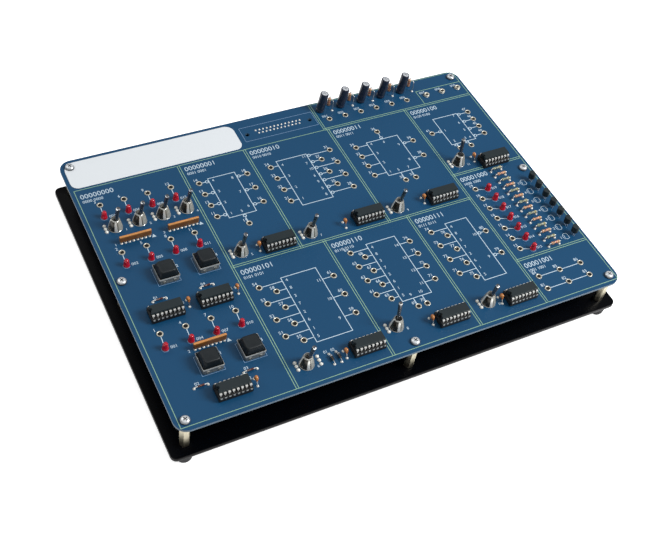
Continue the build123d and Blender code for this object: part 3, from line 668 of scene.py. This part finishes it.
def crossed(form, depth, top):
    """Cut a cross recess into the top of a screw head."""
    head = shown("head", mesh_of(form, "head"))
    cutter_form = bmesh.new()
    for _ in range(2):
        rolled(cutter_form, 90, "Z")
        for vertex in bmesh.ops.create_cube(cutter_form, size=1)["verts"]:
            upper = vertex.co.z > 0
            vertex.co.x *= SLOT_LENGTH * (1 if upper else SLOT_TAPER)
            vertex.co.y *= SLOT_WIDTH
            vertex.co.z = top + 0.2 if upper else top - depth
    cutter = shown("cutter", mesh_of(cutter_form, "cutter"))
    cut = head.modifiers.new("cross", "BOOLEAN")
    cut.operation = "DIFFERENCE"
    cut.use_self = True
    cut.object = cutter
    result = bmesh.new()
    result.from_mesh(worked_out(head))
    for item in (head, cutter):
        bpy.data.objects.remove(item)
    return result


def spots_of(node, lift=0):
    """A place on the board, or above it, at the middle of each solid of a node."""
    return [on_board(x, y, lift) for x, y in places_of(node)]


# Painted shade: the upright rim of each head and the walls of its cross recess take a dark grey.
zinc_painted_shade = grained(
    "zinc_painted_shade", "EEF2F5", 0.17, metal=0.6, mottle=(0.2, 400), grain=(0.12, 2500),
    edge="33383E")
pan_profile = [(0, 0), (2.9, 0), (2.95, 0.25), (2.85, 1.15), (2.45, 1.75), (1.7, 2.1), (0, 2.2)]
screw_spots = spots_of("board_screws")
pan_heads = set_out(
    "pan_head_screws", crossed(turned(pan_profile, 24), 1.1, 2.2), screw_spots, zinc_painted_shade,
    turn=25)
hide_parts("board_screws")
flush_profile = [(0, -1.3), (1.6, -1.3), (2.75, -0.04), (2.65, 0.06), (0, 0.06)]
flush_form = rolled(crossed(turned(flush_profile, 24), 0.9, 0.06), 180, "X")
set_out("countersunk_screws", flush_form, [(p.x, p.y, base_low.z) for p in screw_spots],
        zinc_painted_shade, turn=40)

# ==== Jumper sockets ====
# Turned brass sockets, tin-plated, pressed and soldered into the board: a low round rim with a
# countersunk mouth, and a black disc down in the bore as painted shade. The supply sockets are
# taller.
tinned_brass = grained(
    "tinned_brass", "D8D5C6", 0.34, metal=0.45, mottle=(0.3, 700), grain=(0.15, 3000))
painted_shade_black = grained("painted_shade_black", "14110D", 0.5, metal=0.4, mottle=(0.3, 900))
rim_profile = [(1.34, 0), (2.06, 0), (2.04, 0.26), (1.92, 0.46), (1.73, 0.54), (1.52, 0.48),
               (1.34, 0.3), (1.34, 0)]
socket_spots = spots_of("test_sockets")
rims = set_out("socket_rims", turned(rim_profile, 16), socket_spots, tinned_brass)
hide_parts("test_sockets")
# Painted shade: a black disc at the bottom of each socket's bore.
bore_shade_profile = [(0, 0.03), (1.36, 0.03), (1.36, 0.28), (0.8, 0.1), (0, 0.1)]
set_out("socket_clips", turned(bore_shade_profile, 12), socket_spots, painted_shade_black)
supply_spots = spots_of("supply_sockets")
post_profile = [(1.1, 0), (2.1, 0), (2.1, 0.3), (1.95, 0.4), (1.95, 0.9), (2.08, 1),
                (2.05, 1.4), (1.85, 1.6), (1.4, 1.6), (1.1, 1.35), (1.1, 0)]
posts = set_out(
    "supply_posts", turned(post_profile, 24), supply_spots, tinned_brass)
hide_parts("supply_sockets")
# Painted shade: a black cup down in each supply post's bore.
cup_shade_profile = [(0, 0.05), (1.12, 0.05), (1.12, 0.9), (0.8, 0.25), (0, 0.2)]
set_out("supply_clips", turned(cup_shade_profile, 16), supply_spots, painted_shade_black)

# ==== Toggle switches ====
# Miniature bat-handle switches. The chromed bushing comes up through the board with turned
# thread rings; a conical dress nut with painted reflection bands clamps it; the lever tips about a
# ball in its mouth.


def striped(name, attribute, base_code, bands, rough, **finish):
    """Grained material whose colour changes in sharp bands along a named attribute."""
    material = grained(name, base_code, rough, **finish)
    tree = material.node_tree
    source = grow(tree, "ShaderNodeAttribute", attribute_name=attribute)
    ramp = grow(tree, "ShaderNodeValToRGB", {"Fac": source.outputs["Fac"]})
    ramp.color_ramp.interpolation = "CONSTANT"
    stops = ramp.color_ramp.elements
    stops[0].color = colour(base_code)
    stops.remove(stops[1])
    for start, stop, code in bands:
        stops.new(start).color = colour(code)
        stops.new(stop).color = colour(base_code)
    feed(tree, tree.nodes["grain"], {"Colour": ramp.outputs["Color"]})
    return material


chrome = grained("chrome", "DCDCD6", 0.16, metal=0.8, mottle=(0.15, 500), grain=(0.06, 2000))
# Painted reflection: dark and bright bands of colour round each nut, set by how far round it a
# point lies, stand in for the reflections on its chrome.
painted_reflection_bands = [(0.36, 0.46, "4A463C"), (0.5, 0.8, "F6F6F0"), (0.81, 1, "332E25")]
chrome_painted_reflections = striped("chrome_painted_reflections", "around", "B5B4AA", painted_reflection_bands, 0.2, coat=0.4, metal=0.35)
toggle_spots = spots_of("toggle_bushings")
washer_profile = [(3.1, 0), (4.6, 0), (4.6, 0.4), (4.45, 0.55), (3.1, 0.55), (3.1, 0)]
set_out("lock_washers", turned(washer_profile, 28), toggle_spots, chrome)
# Turn of each nut, which sets where round it the painted reflection bands fall.
REFLECTION_BAND_TURN = 210
nut_profile = [(2.5, 0.56), (4.35, 0.56), (4.5, 0.8), (4.45, 1.4), (3, 6.8), (2.8, 7.1),
               (2.5, 7.15), (2.5, 0.56)]
nut_form = rolled(turned(nut_profile, 32), REFLECTION_BAND_TURN, "Z")
set_out("dress_nuts", nut_form, toggle_spots, chrome_painted_reflections, smooth=30)
THREAD_PITCH = 0.36
bushing_profile = [(1.68, 3), (2.02, -1.6), (2.45, -1.6), (2.45, 6.9)]
for turn in range(3):
    rise = turn * THREAD_PITCH
    bushing_profile += [(2.45, 7.1 + rise), (2.28, 7.28 + rise)]
bushing_profile += [(2.45, 8.1), (2.38, 8.25), (2.25, 8.25), (2.15, 8.1), (1.68, 3)]
bushings = set_out(
    "threaded_bushings", turned(bushing_profile, 24), toggle_spots, chrome)
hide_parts("toggle_bushings")

# Under the board each switch has a dark red moulded case, and bare tinned lugs below it.
CASE_RED, LUG_TIN = "6B1518", "C9CBC6"
CASE_BOTTOM_BELOW_BOARD = 9.55
moulded_case = grained("moulded_case", CASE_RED, 0.4, mottle=(0.2, 120), grain=(0.25, 2500))
case_tree = moulded_case.node_tree
case_place = grow(case_tree, "ShaderNodeTexCoord").outputs["Object"]
case_height = grow(case_tree, "ShaderNodeSeparateXYZ", {0: case_place}).outputs["Z"]
lugs = grow(case_tree, "ShaderNodeMath", {
    0: case_height, 1: board_low.z - CASE_BOTTOM_BELOW_BOARD * mm},
    operation="LESS_THAN").outputs[0]
case_colour = grow(case_tree, "ShaderNodeMix", {
    "Factor": lugs, "A": colour(CASE_RED), "B": colour(LUG_TIN)}, data_type="RGBA")
feed(case_tree, case_tree.nodes["Principled BSDF"], {"Metallic": lugs})
feed(case_tree, case_tree.nodes["grain"], {"Colour": case_colour.outputs["Result"]})
refinish("toggle_bodies", moulded_case)

# Each lever is a long taper from a ball to a fatter rounded tip. It leans to the front or the
# back as its own node does, and sways a little sideways in its mouth.
LEVER_PIVOT, LEVER_TILT = 3, 9
LEVER_SWAY = (5, 5, 5, 4.5, 3, 3, 3, 3.5, 5, 2, 0)
lever_profile = [(0, -6), (0.7, -5.9), (0.9, -1.5), (1.35, -0.9), (1.6, 0), (1.35, 0.9),
                 (1.02, 1.6), (1.05, 3), (1.12, 8), (1.27, 13.5), (1.36, 15.6), (1.36, 16.3),
                 (1.1, 16.85), (0.6, 17.1), (0, 17.1)]
# Painted light: the dark grey of the lever stands in for the dark reflections along its chrome, and
# a pale band round the rim of its tip is a painted highlight.
lever_chrome_painted_highlight = striped("lever_chrome_painted_highlight", "along", "74767A", [(0.955, 0.985, "F2F2EE")], 0.12, metal=0.85)
for number, sway in enumerate(LEVER_SWAY, start=1):
    node = f"toggle_lever_{number}"
    middle = sum(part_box(node), Vector()) / 2
    pivot = min(toggle_spots, key=lambda spot: (spot.xy - middle.xy).length)
    lean = LEVER_TILT if middle.y < pivot.y else -LEVER_TILT
    form = rolled(rolled(turned(lever_profile, 16), lean, "X"), sway, "Y")
    place = Vector((middle.x, pivot.y, board_high.z + LEVER_PIVOT * mm))
    lever = set_down(
        f"bat_lever_{number}", form, place, lever_chrome_painted_highlight, f"toggle_{number}")
    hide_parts(node)

# ==== Push buttons ====
# Square momentary keys. A folded grey steel frame round a moulded seat, a sprung snap dome on
# its floor, and a tall black keycap with sloping sides and a slightly dished top.
KEY_FRAME, KEY_FRAME_HEIGHT = 12.7, 4.8
KEY_WALL, KEY_WELL = 0.35, 4


def joined(*boxes, form=None):
    """Separate boxes, each given as middle and size in millimetres, added to one form."""
    form = form or bmesh.new()
    for middle, size in boxes:
        made = bmesh.ops.create_cube(form, size=1)["verts"]
        bmesh.ops.scale(form, verts=made, vec=size)
        bmesh.ops.translate(form, verts=made, vec=middle)
    return form


# Painted shade: the upright walls of each frame and its clips take a darker grey than the top.
grey_steel_painted_shade = grained(
    "grey_steel_painted_shade", "E2E3DE", 0.3, metal=0.5, mottle=(0.1, 250), grain=(0.08, 2200),
    edge="83857F")
half = KEY_FRAME / 2
frame_outline = rounded_square(half, 1.1, 4)
frame_form = stacked((frame_outline, 0), (frame_outline, KEY_FRAME_HEIGHT))
frame_lid = max(frame_form.faces, key=lambda face: face.calc_center_median().z)
bmesh.ops.inset_region(frame_form, faces=[frame_lid], thickness=KEY_WALL)
bmesh.ops.translate(frame_form, verts=frame_lid.verts, vec=(0, 0, -KEY_WELL))
key_spots = spots_of("button_housings")
frames = set_out("key_frames", soften(frame_form, 0.12), key_spots, grey_steel_painted_shade)
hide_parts("button_housings")
clips = [((shift, side * (half + 0.1), 1.25), (1.6, 0.3, 2.4))
         for side in (-1, 1) for shift in (-3.4, 3.4)]
set_out("key_frame_clips", soften(joined(*clips), 0.08, 1), key_spots, grey_steel_painted_shade)
# Painted highlight: a thin pale band round the upper walls of each frame.
highlight_bands = []
for side in (-half, half):
    highlight_bands += [((0, side, 4.1), (12.5, 0.14, 1.1)), ((side, 0, 4.1), (0.14, 12.5, 1.1))]
painted_highlight_grey = grained("painted_highlight_grey", "D6D7D2", 0.3, metal=0.3, mottle=(0.1, 250))
set_out("key_frame_lips", joined(*highlight_bands), key_spots, painted_highlight_grey)
refinish("snap_domes", grained("spring_steel", "B9B6AE", 0.22, metal=1, mottle=(0.2, 300)))

# The cap's levels: half its width, its height, and the radius of its corners.
cap_levels = [(5.55, 3.4, 1.2), (5.8, 3.65, 1.4), (5.8, 5.2, 1.4), (4.83, 7.95, 1.5),
              (4.63, 8.42, 1.5), (4.3, 8.66, 1.45), (3.85, 8.7, 1.3), (2.5025, 8.504, 0.8),
              (0.91, 8.42, 0.3)]
cap_stem = ((0, 0, 3.075), (3, 3, 0.65))
black_key = grained(
    "black_key", "10191E", 0.4, specular=0.4, mottle=(0.3, 90), grain=(0.3, 2600))
for number in range(1, 5):
    node = f"button_cap_{number}"
    middle = sum(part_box(node), Vector()) / 2
    cap_form = stacked(
        *[(rounded_square(reach, corner, 5), height) for reach, height, corner in cap_levels])
    cap = set_down(f"keycap_{number}", joined(cap_stem, form=cap_form),
                   Vector((middle.x, middle.y, board_high.z)), black_key,
                   f"button_{number}", 40)
    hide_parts(node)

# ==== Integrated circuits ====
# Sixteen-lead packages of moulded black epoxy, drafted both ways from the lead line, with a
# half-round notch at one end. Each is pushed into an open socket with stamped tin contacts.
LEAD_PITCH, LEADS_A_SIDE, ROW = 2.54, 8, 3.83
BODY_LOW, BODY_MIDDLE, BODY_HIGH = 4.7, 6.35, 8
DRAFT, NOTCH = 0.32, 1.15
ic_spots = spots_of("ic_sockets")
socket_black = grained("socket_black", "0C0E10", 0.55, mottle=(0.3, 150), grain=(0.3, 2500))
rails = [((0, side * 3.79, 2.3), (20.3, 2.58, 3.8)) for side in (-1, 1)]
bars = [((end * 9.15, 0, 2.3), (2, 5, 3.4)) for end in (-1, 1)]
holders = set_out(
    "ic_holders", soften(joined(*rails, *bars), 0.2, 1), ic_spots, socket_black)
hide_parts("ic_sockets")
lead_line = [(i - (LEADS_A_SIDE - 1) / 2) * LEAD_PITCH for i in range(LEADS_A_SIDE)]
contacts = [((x, side * 5.07, 3.5), (1.2, 0.16, 1.1)) for x in lead_line for side in (-1, 1)]
grey_contacts = grained("grey_contacts", "C4C8C6", 0.35, metal=0.2, mottle=(0.3, 900))
set_out("holder_contacts", joined(*contacts), ic_spots, grey_contacts)

body_levels = []
for height, shrink in ((BODY_LOW, DRAFT), (BODY_MIDDLE, 0), (BODY_HIGH, DRAFT)):
    x, y = 9.75 - shrink, 3.175 - shrink
    notch = arc(-x, 0, NOTCH, 90, -90, 6)
    body_levels.append(([(-x, -y), (x, -y), (x, y), (-x, y)] + notch, height))
epoxy_black = grained(
    "moulded_epoxy", "1D282C", 0.45, specular=0.35, mottle=(0.25, 120), grain=(0.4, 3200))
packages = set_out("ic_packages", stacked(*body_levels), ic_spots, epoxy_black)
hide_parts("ics")
lead_boxes = []
for x in lead_line:
    for side in (-1, 1):
        lead_boxes += [((x, side * 3.45, BODY_MIDDLE), (1.35, 0.9, 0.26)),
                       ((x, side * ROW, 5.95), (1.35, 0.26, 1.05)),
                       ((x, side * ROW, 4.8), (0.42, 0.26, 1.3))]
bright_leads = grained(
    "bright_leads", "EDEDE8", 0.32, metal=0.25, mottle=(0.15, 800), grain=(0.12, 3500))
set_out("ic_leads", joined(*lead_boxes), ic_spots, bright_leads)

# ==== Lamps ====
# Three-millimetre lamps cast in clear red resin with a flange at the foot and a domed end, on
# leads soldered under the board.
# Painted highlight: a pale pink band round the foot of each lamp's flange.
red_resin_painted_highlight = striped("red_resin_painted_highlight", "along", "C8102E", [(0.005, 0.07, "E58A98")], 0.1, coat=0.3)
resin_tree = red_resin_painted_highlight.node_tree
feed(resin_tree, resin_tree.nodes["Principled BSDF"], {
    "Transmission Weight": 0.2, "Subsurface Weight": 0.2,
    "Subsurface Radius": (0.003, 0.0008, 0.0008), "Subsurface Scale": 1})
lamp_profile = [(0, 0.1), (1.95, 0.1), (2, 0.25), (1.98, 0.8), (1.76, 1), (1.62, 4.1),
                (1.46, 4.75), (1.12, 5.25), (0.6, 5.53), (0, 5.6)]
lamps = set_out(
    "red_lamps", turned(lamp_profile, 20), spots_of("leds"), red_resin_painted_highlight, smooth=50)
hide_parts("leds")

# ==== Resistor networks ====
# Eight resistors printed on one ceramic strip, dipped in orange-tan lacquer that swells over
# each lead, standing on eight flat tinned leads.
# Painted shade: the upright sides of each strip take a darker brown than its top.
orange_lacquer_painted_shade = grained(
    "orange_lacquer_painted_shade", "E29A50", 0.3, coat=0.4, mottle=(0.55, 420), grain=(0.35, 1200),
    edge="845420")
strip_form = soften(joined(((0, 0, 3.8), (20.3, 1.7, 4.4))), 0.6, 3)
for x in lead_line:
    swell = bmesh.ops.create_uvsphere(strip_form, u_segments=10, v_segments=6, radius=0.95)
    bmesh.ops.scale(strip_form, verts=swell["verts"], vec=(0.95, 1.08, 1))
    bmesh.ops.translate(strip_form, verts=swell["verts"], vec=(x, 0, 1.75))
network_spots = spots_of("resistor_networks")
strips = set_out(
    "network_strips", strip_form, network_spots, orange_lacquer_painted_shade, smooth=60)
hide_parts("resistor_networks")
tin = grained("bright_tin", "DADDDD", 0.22, metal=0.9, mottle=(0.2, 800), grain=(0.12, 3500))
pins = [((x, 0, 0.55), (0.75, 0.35, 1.1)) for x in lead_line]
set_out("network_leads", joined(*pins), network_spots, tin)

# ==== Solder joints ====
# A small bright fillet of solder stands round each lead that comes up through the board, larger
# ones beside the toggle switches.
solder = grained("solder", "F0F1EA", 0.28, metal=0.2, mottle=(0.25, 900), grain=(0.2, 3500))
joint_steps = {
    "resistor_networks": [(x, -0.15) for x in lead_line],
    "resistors": [(-4.15, 0), (4.15, 0)],
    "diodes": [(0, -3.75), (0, 3.75)],
    "ceramic_capacitors": [(0, -2.54), (0, 2.54)],
    "upright_parts": [(0, -5.8)],
}
joints = []
for node, steps in joint_steps.items():
    joints += [on_board(x + right, y + behind)
               for x, y in places_of(node) for right, behind in steps]
joint_profile = [(0, 0), (0.92, 0), (0.88, 0.2), (0.7, 0.5), (0.4, 0.72), (0, 0.8)]
set_out("solder_joints", turned(joint_profile, 8), joints, solder, smooth=60)
TERMINAL_LEFT, TERMINAL_PITCH = 6.1, 2.5
terminals = [on_board(x - TERMINAL_LEFT, y + 0.6 + step * TERMINAL_PITCH)
             for x, y in places_of("toggle_bushings") for step in (-1, 0, 1)]
RIGHT_PADS = ((91.3, 12.7), (91.3, 15.5), (91.3, 18.3))
terminals += [on_board(x, y) for x, y in RIGHT_PADS]
terminal_profile = [(0, 0), (1.2, 0), (1.15, 0.3), (0.9, 0.7), (0.5, 1), (0, 1.1)]
set_out("terminal_joints", turned(terminal_profile, 10), terminals, solder, smooth=60)
PIN_PITCH, PINS_MIDDLE = 2.77, 150.1
pins = [on_board(PINS_MIDDLE + (i - (count - 1) / 2) * PIN_PITCH, row)
        for row, count in ((199.7, 12), (202.5, 13)) for i in range(count)]
pin_profile = [(0, 0), (0.72, 0), (0.6, 0.2), (0.34, 0.55), (0, 0.65)]
set_out("connector_joints", turned(pin_profile, 8), pins, solder, smooth=60)

# ==== Ceramic capacitors ====
# Small beads of ceramic dipped in orange lacquer, one beside each circuit, on two leads that
# spread to their pads.
bead_form = bmesh.new()
bead = bmesh.ops.create_uvsphere(bead_form, u_segments=20, v_segments=12, radius=1)["verts"]
bmesh.ops.scale(bead_form, verts=bead, vec=(1.25, 1.6, 1.55))
bmesh.ops.translate(bead_form, verts=bead, vec=(0, 0, 4.65))
for side in (-1, 1):
    neck = bmesh.ops.create_cone(bead_form, cap_ends=True, segments=10, radius1=0.32,
                                 radius2=0.6, depth=0.8)["verts"]
    bmesh.ops.translate(bead_form, verts=neck, vec=(0, side * 1.15, 3.15))
bead_spots = spots_of("ceramic_capacitors")
dipped_orange = grained(
    "dipped_orange", "BF7A3A", 0.22, coat=0.5, mottle=(0.35, 300), grain=(0.2, 2500))
beads = set_out("dipped_beads", bead_form, bead_spots, dipped_orange, smooth=60)
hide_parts("ceramic_capacitors")


def wired(thickness, *paths):
    """Round wires bent softly along points in millimetres, as one form."""
    form = bmesh.new()
    for path in paths:
        curve = bpy.data.curves.new("wire", "CURVE")
        curve.dimensions = "3D"
        curve.bevel_depth = thickness / 2
        curve.bevel_resolution = 2
        curve.use_fill_caps = True
        spline = curve.splines.new("NURBS")
        spline.points.add(len(path) - 1)
        for point, place in zip(spline.points, path):
            point.co = (*place, 1)
        spline.order_u = spline.resolution_u = 3
        spline.use_endpoint_u = True
        holder = bpy.data.objects.new("wire", curve)
        form.from_mesh(bpy.data.meshes.new_from_object(holder))
        bpy.data.objects.remove(holder)
    return form


bead_wires = [[(0, side * 1.15, 3.1), (0, side * 1.4, 2.5), (0, side * 2.4, 0.8),
               (0, side * 2.54, 0.1)] for side in (-1, 1)]
leads = set_out("bead_leads", wired(0.55, *bead_wires), bead_spots, tin, smooth=60)
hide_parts("ceramic_leads")

# ==== Electrolytic capacitors ====
# Aluminium cans in a shrunk dark sleeve with one pale stripe at the back, the bare scored top
# showing. Each leans a little to the right on its leads.
CAN_LEAN, CAN_RADIUS, STRIPE_TURN = 8, 3, 70


def leaning(form):
    """Lean a standing form to the right, its low side still on the board."""
    drop = CAN_RADIUS * math.sin(math.radians(CAN_LEAN)) - 0.1
    bmesh.ops.translate(rolled(form, CAN_LEAN, "Y"), verts=form.verts, vec=(-0.4, 0, drop))
    return form


sleeve = striped("can_sleeve", "around", "1B2338", [(0.9, 0.999, "9BA2B0")], 0.3, coat=0.3)
can_profile = [
    (0, 0.1), (2.7, 0.1), (2.95, 0.3), (2.98, 1.6), (2.72, 2.1), (2.98, 2.6), (CAN_RADIUS, 14.6),
    (2.92, 15.1), (2.65, 15.4), (2.35, 15.4), (2.3, 15.2), (0, 15.2)]
can_spots = spots_of("electrolytic_capacitors")
can_form = leaning(rolled(turned(can_profile, 28), STRIPE_TURN, "Z"))
cans = set_out("sleeved_cans", can_form, can_spots, sleeve)
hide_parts("electrolytic_capacitors")
bare_aluminium = grained("bare_aluminium", "E6EAF0", 0.3, metal=0.6, mottle=(0.2, 500))
lid = turned([(0, 15.1), (2.28, 15.1), (2.25, 15.32), (2.1, 15.38), (0, 15.35)], 28)
# Painted shade: thin black strips across each lid stand for the shade in its scored vent cross.
vent_groove_shade = joined(((0, 0, 15.38), (3.2, 0.12, 0.06)), ((0, 0, 15.38), (0.12, 3.2, 0.06)))
set_out("can_lids", leaning(lid), can_spots, bare_aluminium)
set_out("can_scores", leaning(vent_groove_shade), can_spots, painted_shade_black)

# ==== Resistors and diodes ====
# Carbon-film resistors: lacquered barrels, fatter at their ends, with colour bands, on leads bent
# down to the board. Pale and tan ones alternate beside the display; four small brown ones serve
# the sources. Two glass-black diodes have one silver band.
barrel_profile = [
    (0, -3.15), (0.5, -3.15), (0.88, -3), (1.05, -2.6), (1, -2), (0.82, -1.6), (0.8, 0),
    (0.82, 1.6), (1, 2), (1.05, 2.6), (0.88, 3), (0.5, 3.15), (0, 3.15)]


def lacquered(name, base_code, *band_codes):
    """Lacquer along a barrel, with four colour bands."""
    spans = ((0.15, 0.24), (0.33, 0.42), (0.50, 0.58), (0.78, 0.85))
    bands = [(*span, code) for span, code in zip(spans, band_codes)]
    return striped(name, "along", base_code, bands, 0.35, coat=0.25)


tan_lacquer = lacquered("tan_lacquer", "D9A883", "5E2F16", "1B1716", "A8241A", "8C6A22")
pale_lacquer = lacquered("pale_lacquer", "9FA78E", "33502A", "20262E", "4A3A26", "A0843A")
brown_bands = [(0.2, 0.3, "1B1716"), (0.44, 0.52, "8A5A2A")]
brown_lacquer = striped("brown_lacquer", "along", "522420", brown_bands, 0.35, coat=0.25)


def lead_wires(name, spots, material, thickness, *path, turn=0):
    """Two bent wires for each lying part, mirrored, each along (outward, upward) points."""
    sides = [[(side * out, 0, up) for out, up in path] for side in (-1, 1)]
    return set_out(name, wired(thickness, *sides), spots, material, turn, 60)


DISPLAY_RISE, SMALL_RISE, DIODE_RISE = 3, 1.3, 1.5
RESISTOR_REACH, DIODE_REACH = 4.15, 3.75
display_spots = [
    on_board(x, y, DISPLAY_RISE) for x, y in places_of("resistors") if x > RIGHT_COLUMN]
display_spots.sort(key=lambda spot: -spot.y)
set_out("pale_resistors", rolled(turned(barrel_profile, 14), 90, "Y"), display_spots[::2],
        pale_lacquer, smooth=60)
barrels = set_out(
    "tan_resistors", rolled(turned(barrel_profile, 14), 90, "Y"), display_spots[1::2], tan_lacquer,
    smooth=60)
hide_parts("resistors")
wires = lead_wires(
    "display_wires", display_spots, bright_leads, 0.55, (3, 0), (RESISTOR_REACH - 0.45, 0.02),
    (RESISTOR_REACH, -0.15), (RESISTOR_REACH, -0.9), (RESISTOR_REACH, 0.05 - DISPLAY_RISE))
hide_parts("resistor_leads")

SMALL_WIDTH, SMALL_LENGTH = 0.7, 0.63
small_profile = [(radius * SMALL_WIDTH, height * SMALL_LENGTH) for radius, height in barrel_profile]
small_spots = [on_board(x, y, SMALL_RISE) for x, y in places_of("resistors") if x < RIGHT_COLUMN]
set_out("source_resistors", rolled(turned(small_profile, 14), 90, "Y"), small_spots,
        brown_lacquer, smooth=60)
lead_wires(
    "source_wires", small_spots, bright_leads, 0.55, (1.9, 0), (RESISTOR_REACH - 0.45, 0.02),
    (RESISTOR_REACH, -0.15), (RESISTOR_REACH, -0.39), (RESISTOR_REACH, 0.05 - SMALL_RISE))

glass_black = striped("banded_glass", "along", "201C1B", [(0.74, 0.86, "B8BCC0")], 0.12, coat=0.5)
bulb_profile = [(0, -2), (0.6, -2), (0.85, -1.7), (0.9, -1.2), (0.9, 1.2), (0.85, 1.7),
                (0.6, 2), (0, 2)]
diode_spots = spots_of("diodes", DIODE_RISE)
glass = set_out("banded_diodes", rolled(turned(bulb_profile, 14), 90, "Y"), diode_spots,
                glass_black, turn=90, smooth=60)
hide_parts("diodes")
wires = lead_wires(
    "diode_wires", diode_spots, tin, 0.5, (1.9, 0), (3.3, 0.02), (DIODE_REACH, -0.1),
    (DIODE_REACH, -0.6), (DIODE_REACH, 0.05 - DIODE_RISE), turn=90)
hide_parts("diode_leads")

# ==== Standing resistors ====
# Resistors stood on end behind the electrolytic capacitors, the upper lead looped over and back
# down to the board.
upright_spots = spots_of("upright_parts")
stood_profile = [(0, 0.3), (0.9, 0.3), (1.2, 0.9), (1.15, 1.8), (1, 2.3), (1, 4.5),
                 (1.15, 5), (1.2, 5.9), (0.9, 6.5), (0, 6.5)]
stood = set_out("standing_resistors", turned(stood_profile, 14), upright_spots, tan_lacquer,
                smooth=60)
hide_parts("upright_parts")
loop = [(0, 0, 6.4), (0, 0, 8.3), (0, -1.2, 8.65), (0, -4.6, 8.65), (0, -5.8, 8),
        (0, -5.8, 4), (0, -5.8, 0.1)]
loops = set_out("looped_leads", wired(0.6, loop), upright_spots, tin, smooth=60)
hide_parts("upright_leads")

# ==== Transistors ====
# Small black moulded packages beside the right edge, round at the back with one flat face, on
# three tinned leads.
PACKAGE_RADIUS, PACKAGE_LOW, PACKAGE_HIGH = 2.35, 2.8, 7.6
d_outline = arc(0, 0, PACKAGE_RADIUS, 45, 315, 18)
package_form = soften(stacked((d_outline, PACKAGE_LOW), (d_outline, PACKAGE_HIGH)), 0.18, 1)
transistor_spots = [on_board(x + 0.35, y) for x, y in places_of("transistors")]
packages = set_out(
    "transistor_packages", package_form, transistor_spots, epoxy_black)
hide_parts("transistors")
legs = [((0, step * 1.27, 1.45), (0.45, 0.45, 2.9)) for step in (-1, 0, 1)]
leg_set = set_out("transistor_legs", joined(*legs), transistor_spots, tin)
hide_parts("transistor_leads")

# ==== 25-way connector ====
# A right-angle connector hung under the back edge: pressed and tinned steel shell, black
# moulded insulator and body, and two hexagonal jackscrews tapped for the plug's own screws.
tinned_steel = grained(
    "tinned_steel", "B9BEC0", 0.26, metal=1, mottle=(0.25, 250), grain=(0.15, 2000))
moulded_black = grained("moulded_black", "15171A", 0.45, mottle=(0.25, 200), grain=(0.25, 2500))
refinish("connector_shell", tinned_steel)
refinish("connector_insulator", moulded_black)
refinish("connector_body", moulded_black)
refinish("jackscrews", warm_nickel)

# ==== Floor, light and camera ====
# A plain pale floor, one broad soft lamp to the front right, a weaker one behind to the left,
# and an even sky that is brightest overhead.
FLOOR_REACH = 2
FLOOR_GLOW = 0.7
floor_mesh = bpy.data.meshes.new("floor")
corners = [(x * FLOOR_REACH, y * FLOOR_REACH, 0) for x, y in ((-1, -1), (1, -1), (1, 1), (-1, 1))]
floor_mesh.from_pydata(corners, [], [(0, 1, 2, 3)])
floor_paint = bpy.data.materials.new("floor_paint")
floor_paint.use_nodes = True
floor_tree = floor_paint.node_tree
path = grow(floor_tree, "ShaderNodeLightPath").outputs
seen = path["Is Camera Ray"]
for ray in ("Is Glossy Ray", "Is Transmission Ray"):
    seen = grow(floor_tree, "ShaderNodeMath", {0: seen, 1: path[ray]},
                operation="MAXIMUM").outputs[0]
glow = grow(floor_tree, "ShaderNodeMath", {0: seen, 1: FLOOR_GLOW}, operation="MULTIPLY")
feed(floor_tree, floor_tree.nodes["Principled BSDF"], {
    "Base Color": (0.86, 0.86, 0.86, 1), "Roughness": 0.9, "Specular IOR Level": 0,
    "Emission Color": (1, 1, 1, 1), "Emission Strength": glow.outputs[0]})
floor_mesh.materials.append(floor_paint)
shown("floor", floor_mesh)

SKY_AT_FLOOR, SKY_OVERHEAD = 0.06, 0.72
world = bpy.data.worlds.new("studio")
bpy.context.scene.world = world
world.use_nodes = True
sky = world.node_tree
upward = grow(sky, "ShaderNodeSeparateXYZ", {
    0: grow(sky, "ShaderNodeTexCoord").outputs["Generated"]})
brightness = grow(sky, "ShaderNodeMapRange", {
    "Value": upward.outputs["Z"], "To Min": SKY_AT_FLOOR, "To Max": SKY_OVERHEAD})
strength = grow(sky, "ShaderNodeMix", {
    "Factor": grow(sky, "ShaderNodeLightPath").outputs["Is Camera Ray"],
    "A": brightness.outputs["Result"], "B": 1})
feed(sky, sky.nodes["Background"], {"Color": (1, 1, 1, 1), "Strength": strength.outputs["Result"]})


def aimed(item, place, target, roll=0):
    """Stand a lamp or a camera at a place, facing a target."""
    facing = (Vector(target) - Vector(place)).to_track_quat("-Z", "Y").to_matrix().to_4x4()
    item.matrix_world = Matrix.Translation(place) @ facing @ Matrix.Rotation(roll, 4, "Z")


for name, place, size, power in (("key_lamp", (0.75, -0.55, 0.95), 0.5, 15.5),
                                 ("fill_lamp", (-0.6, 0.8, 0.9), 0.9, 2.5)):
    light = bpy.data.lights.new(name, "AREA")
    light.shape = "SQUARE"
    light.size = size
    light.energy = power
    aimed(shown(name, light), place, on_board(board_size.x / 2, board_size.y / 2))

CAMERA_PLACE, CAMERA_TARGET = (-0.25850, -0.37542, 0.52120), (-0.02103, -0.03392, 0.0336)
CAMERA_ROLL, FOCAL_LENGTH, SENSOR_WIDTH = 11.052, 56.426, 36
lens = bpy.data.cameras.new("camera")
lens.sensor_width = SENSOR_WIDTH
lens.lens = FOCAL_LENGTH
camera = shown("camera", lens)
aimed(camera, CAMERA_PLACE, CAMERA_TARGET, math.radians(CAMERA_ROLL))
bpy.context.scene.camera = camera
bpy.context.scene.view_settings.view_transform = "Standard"
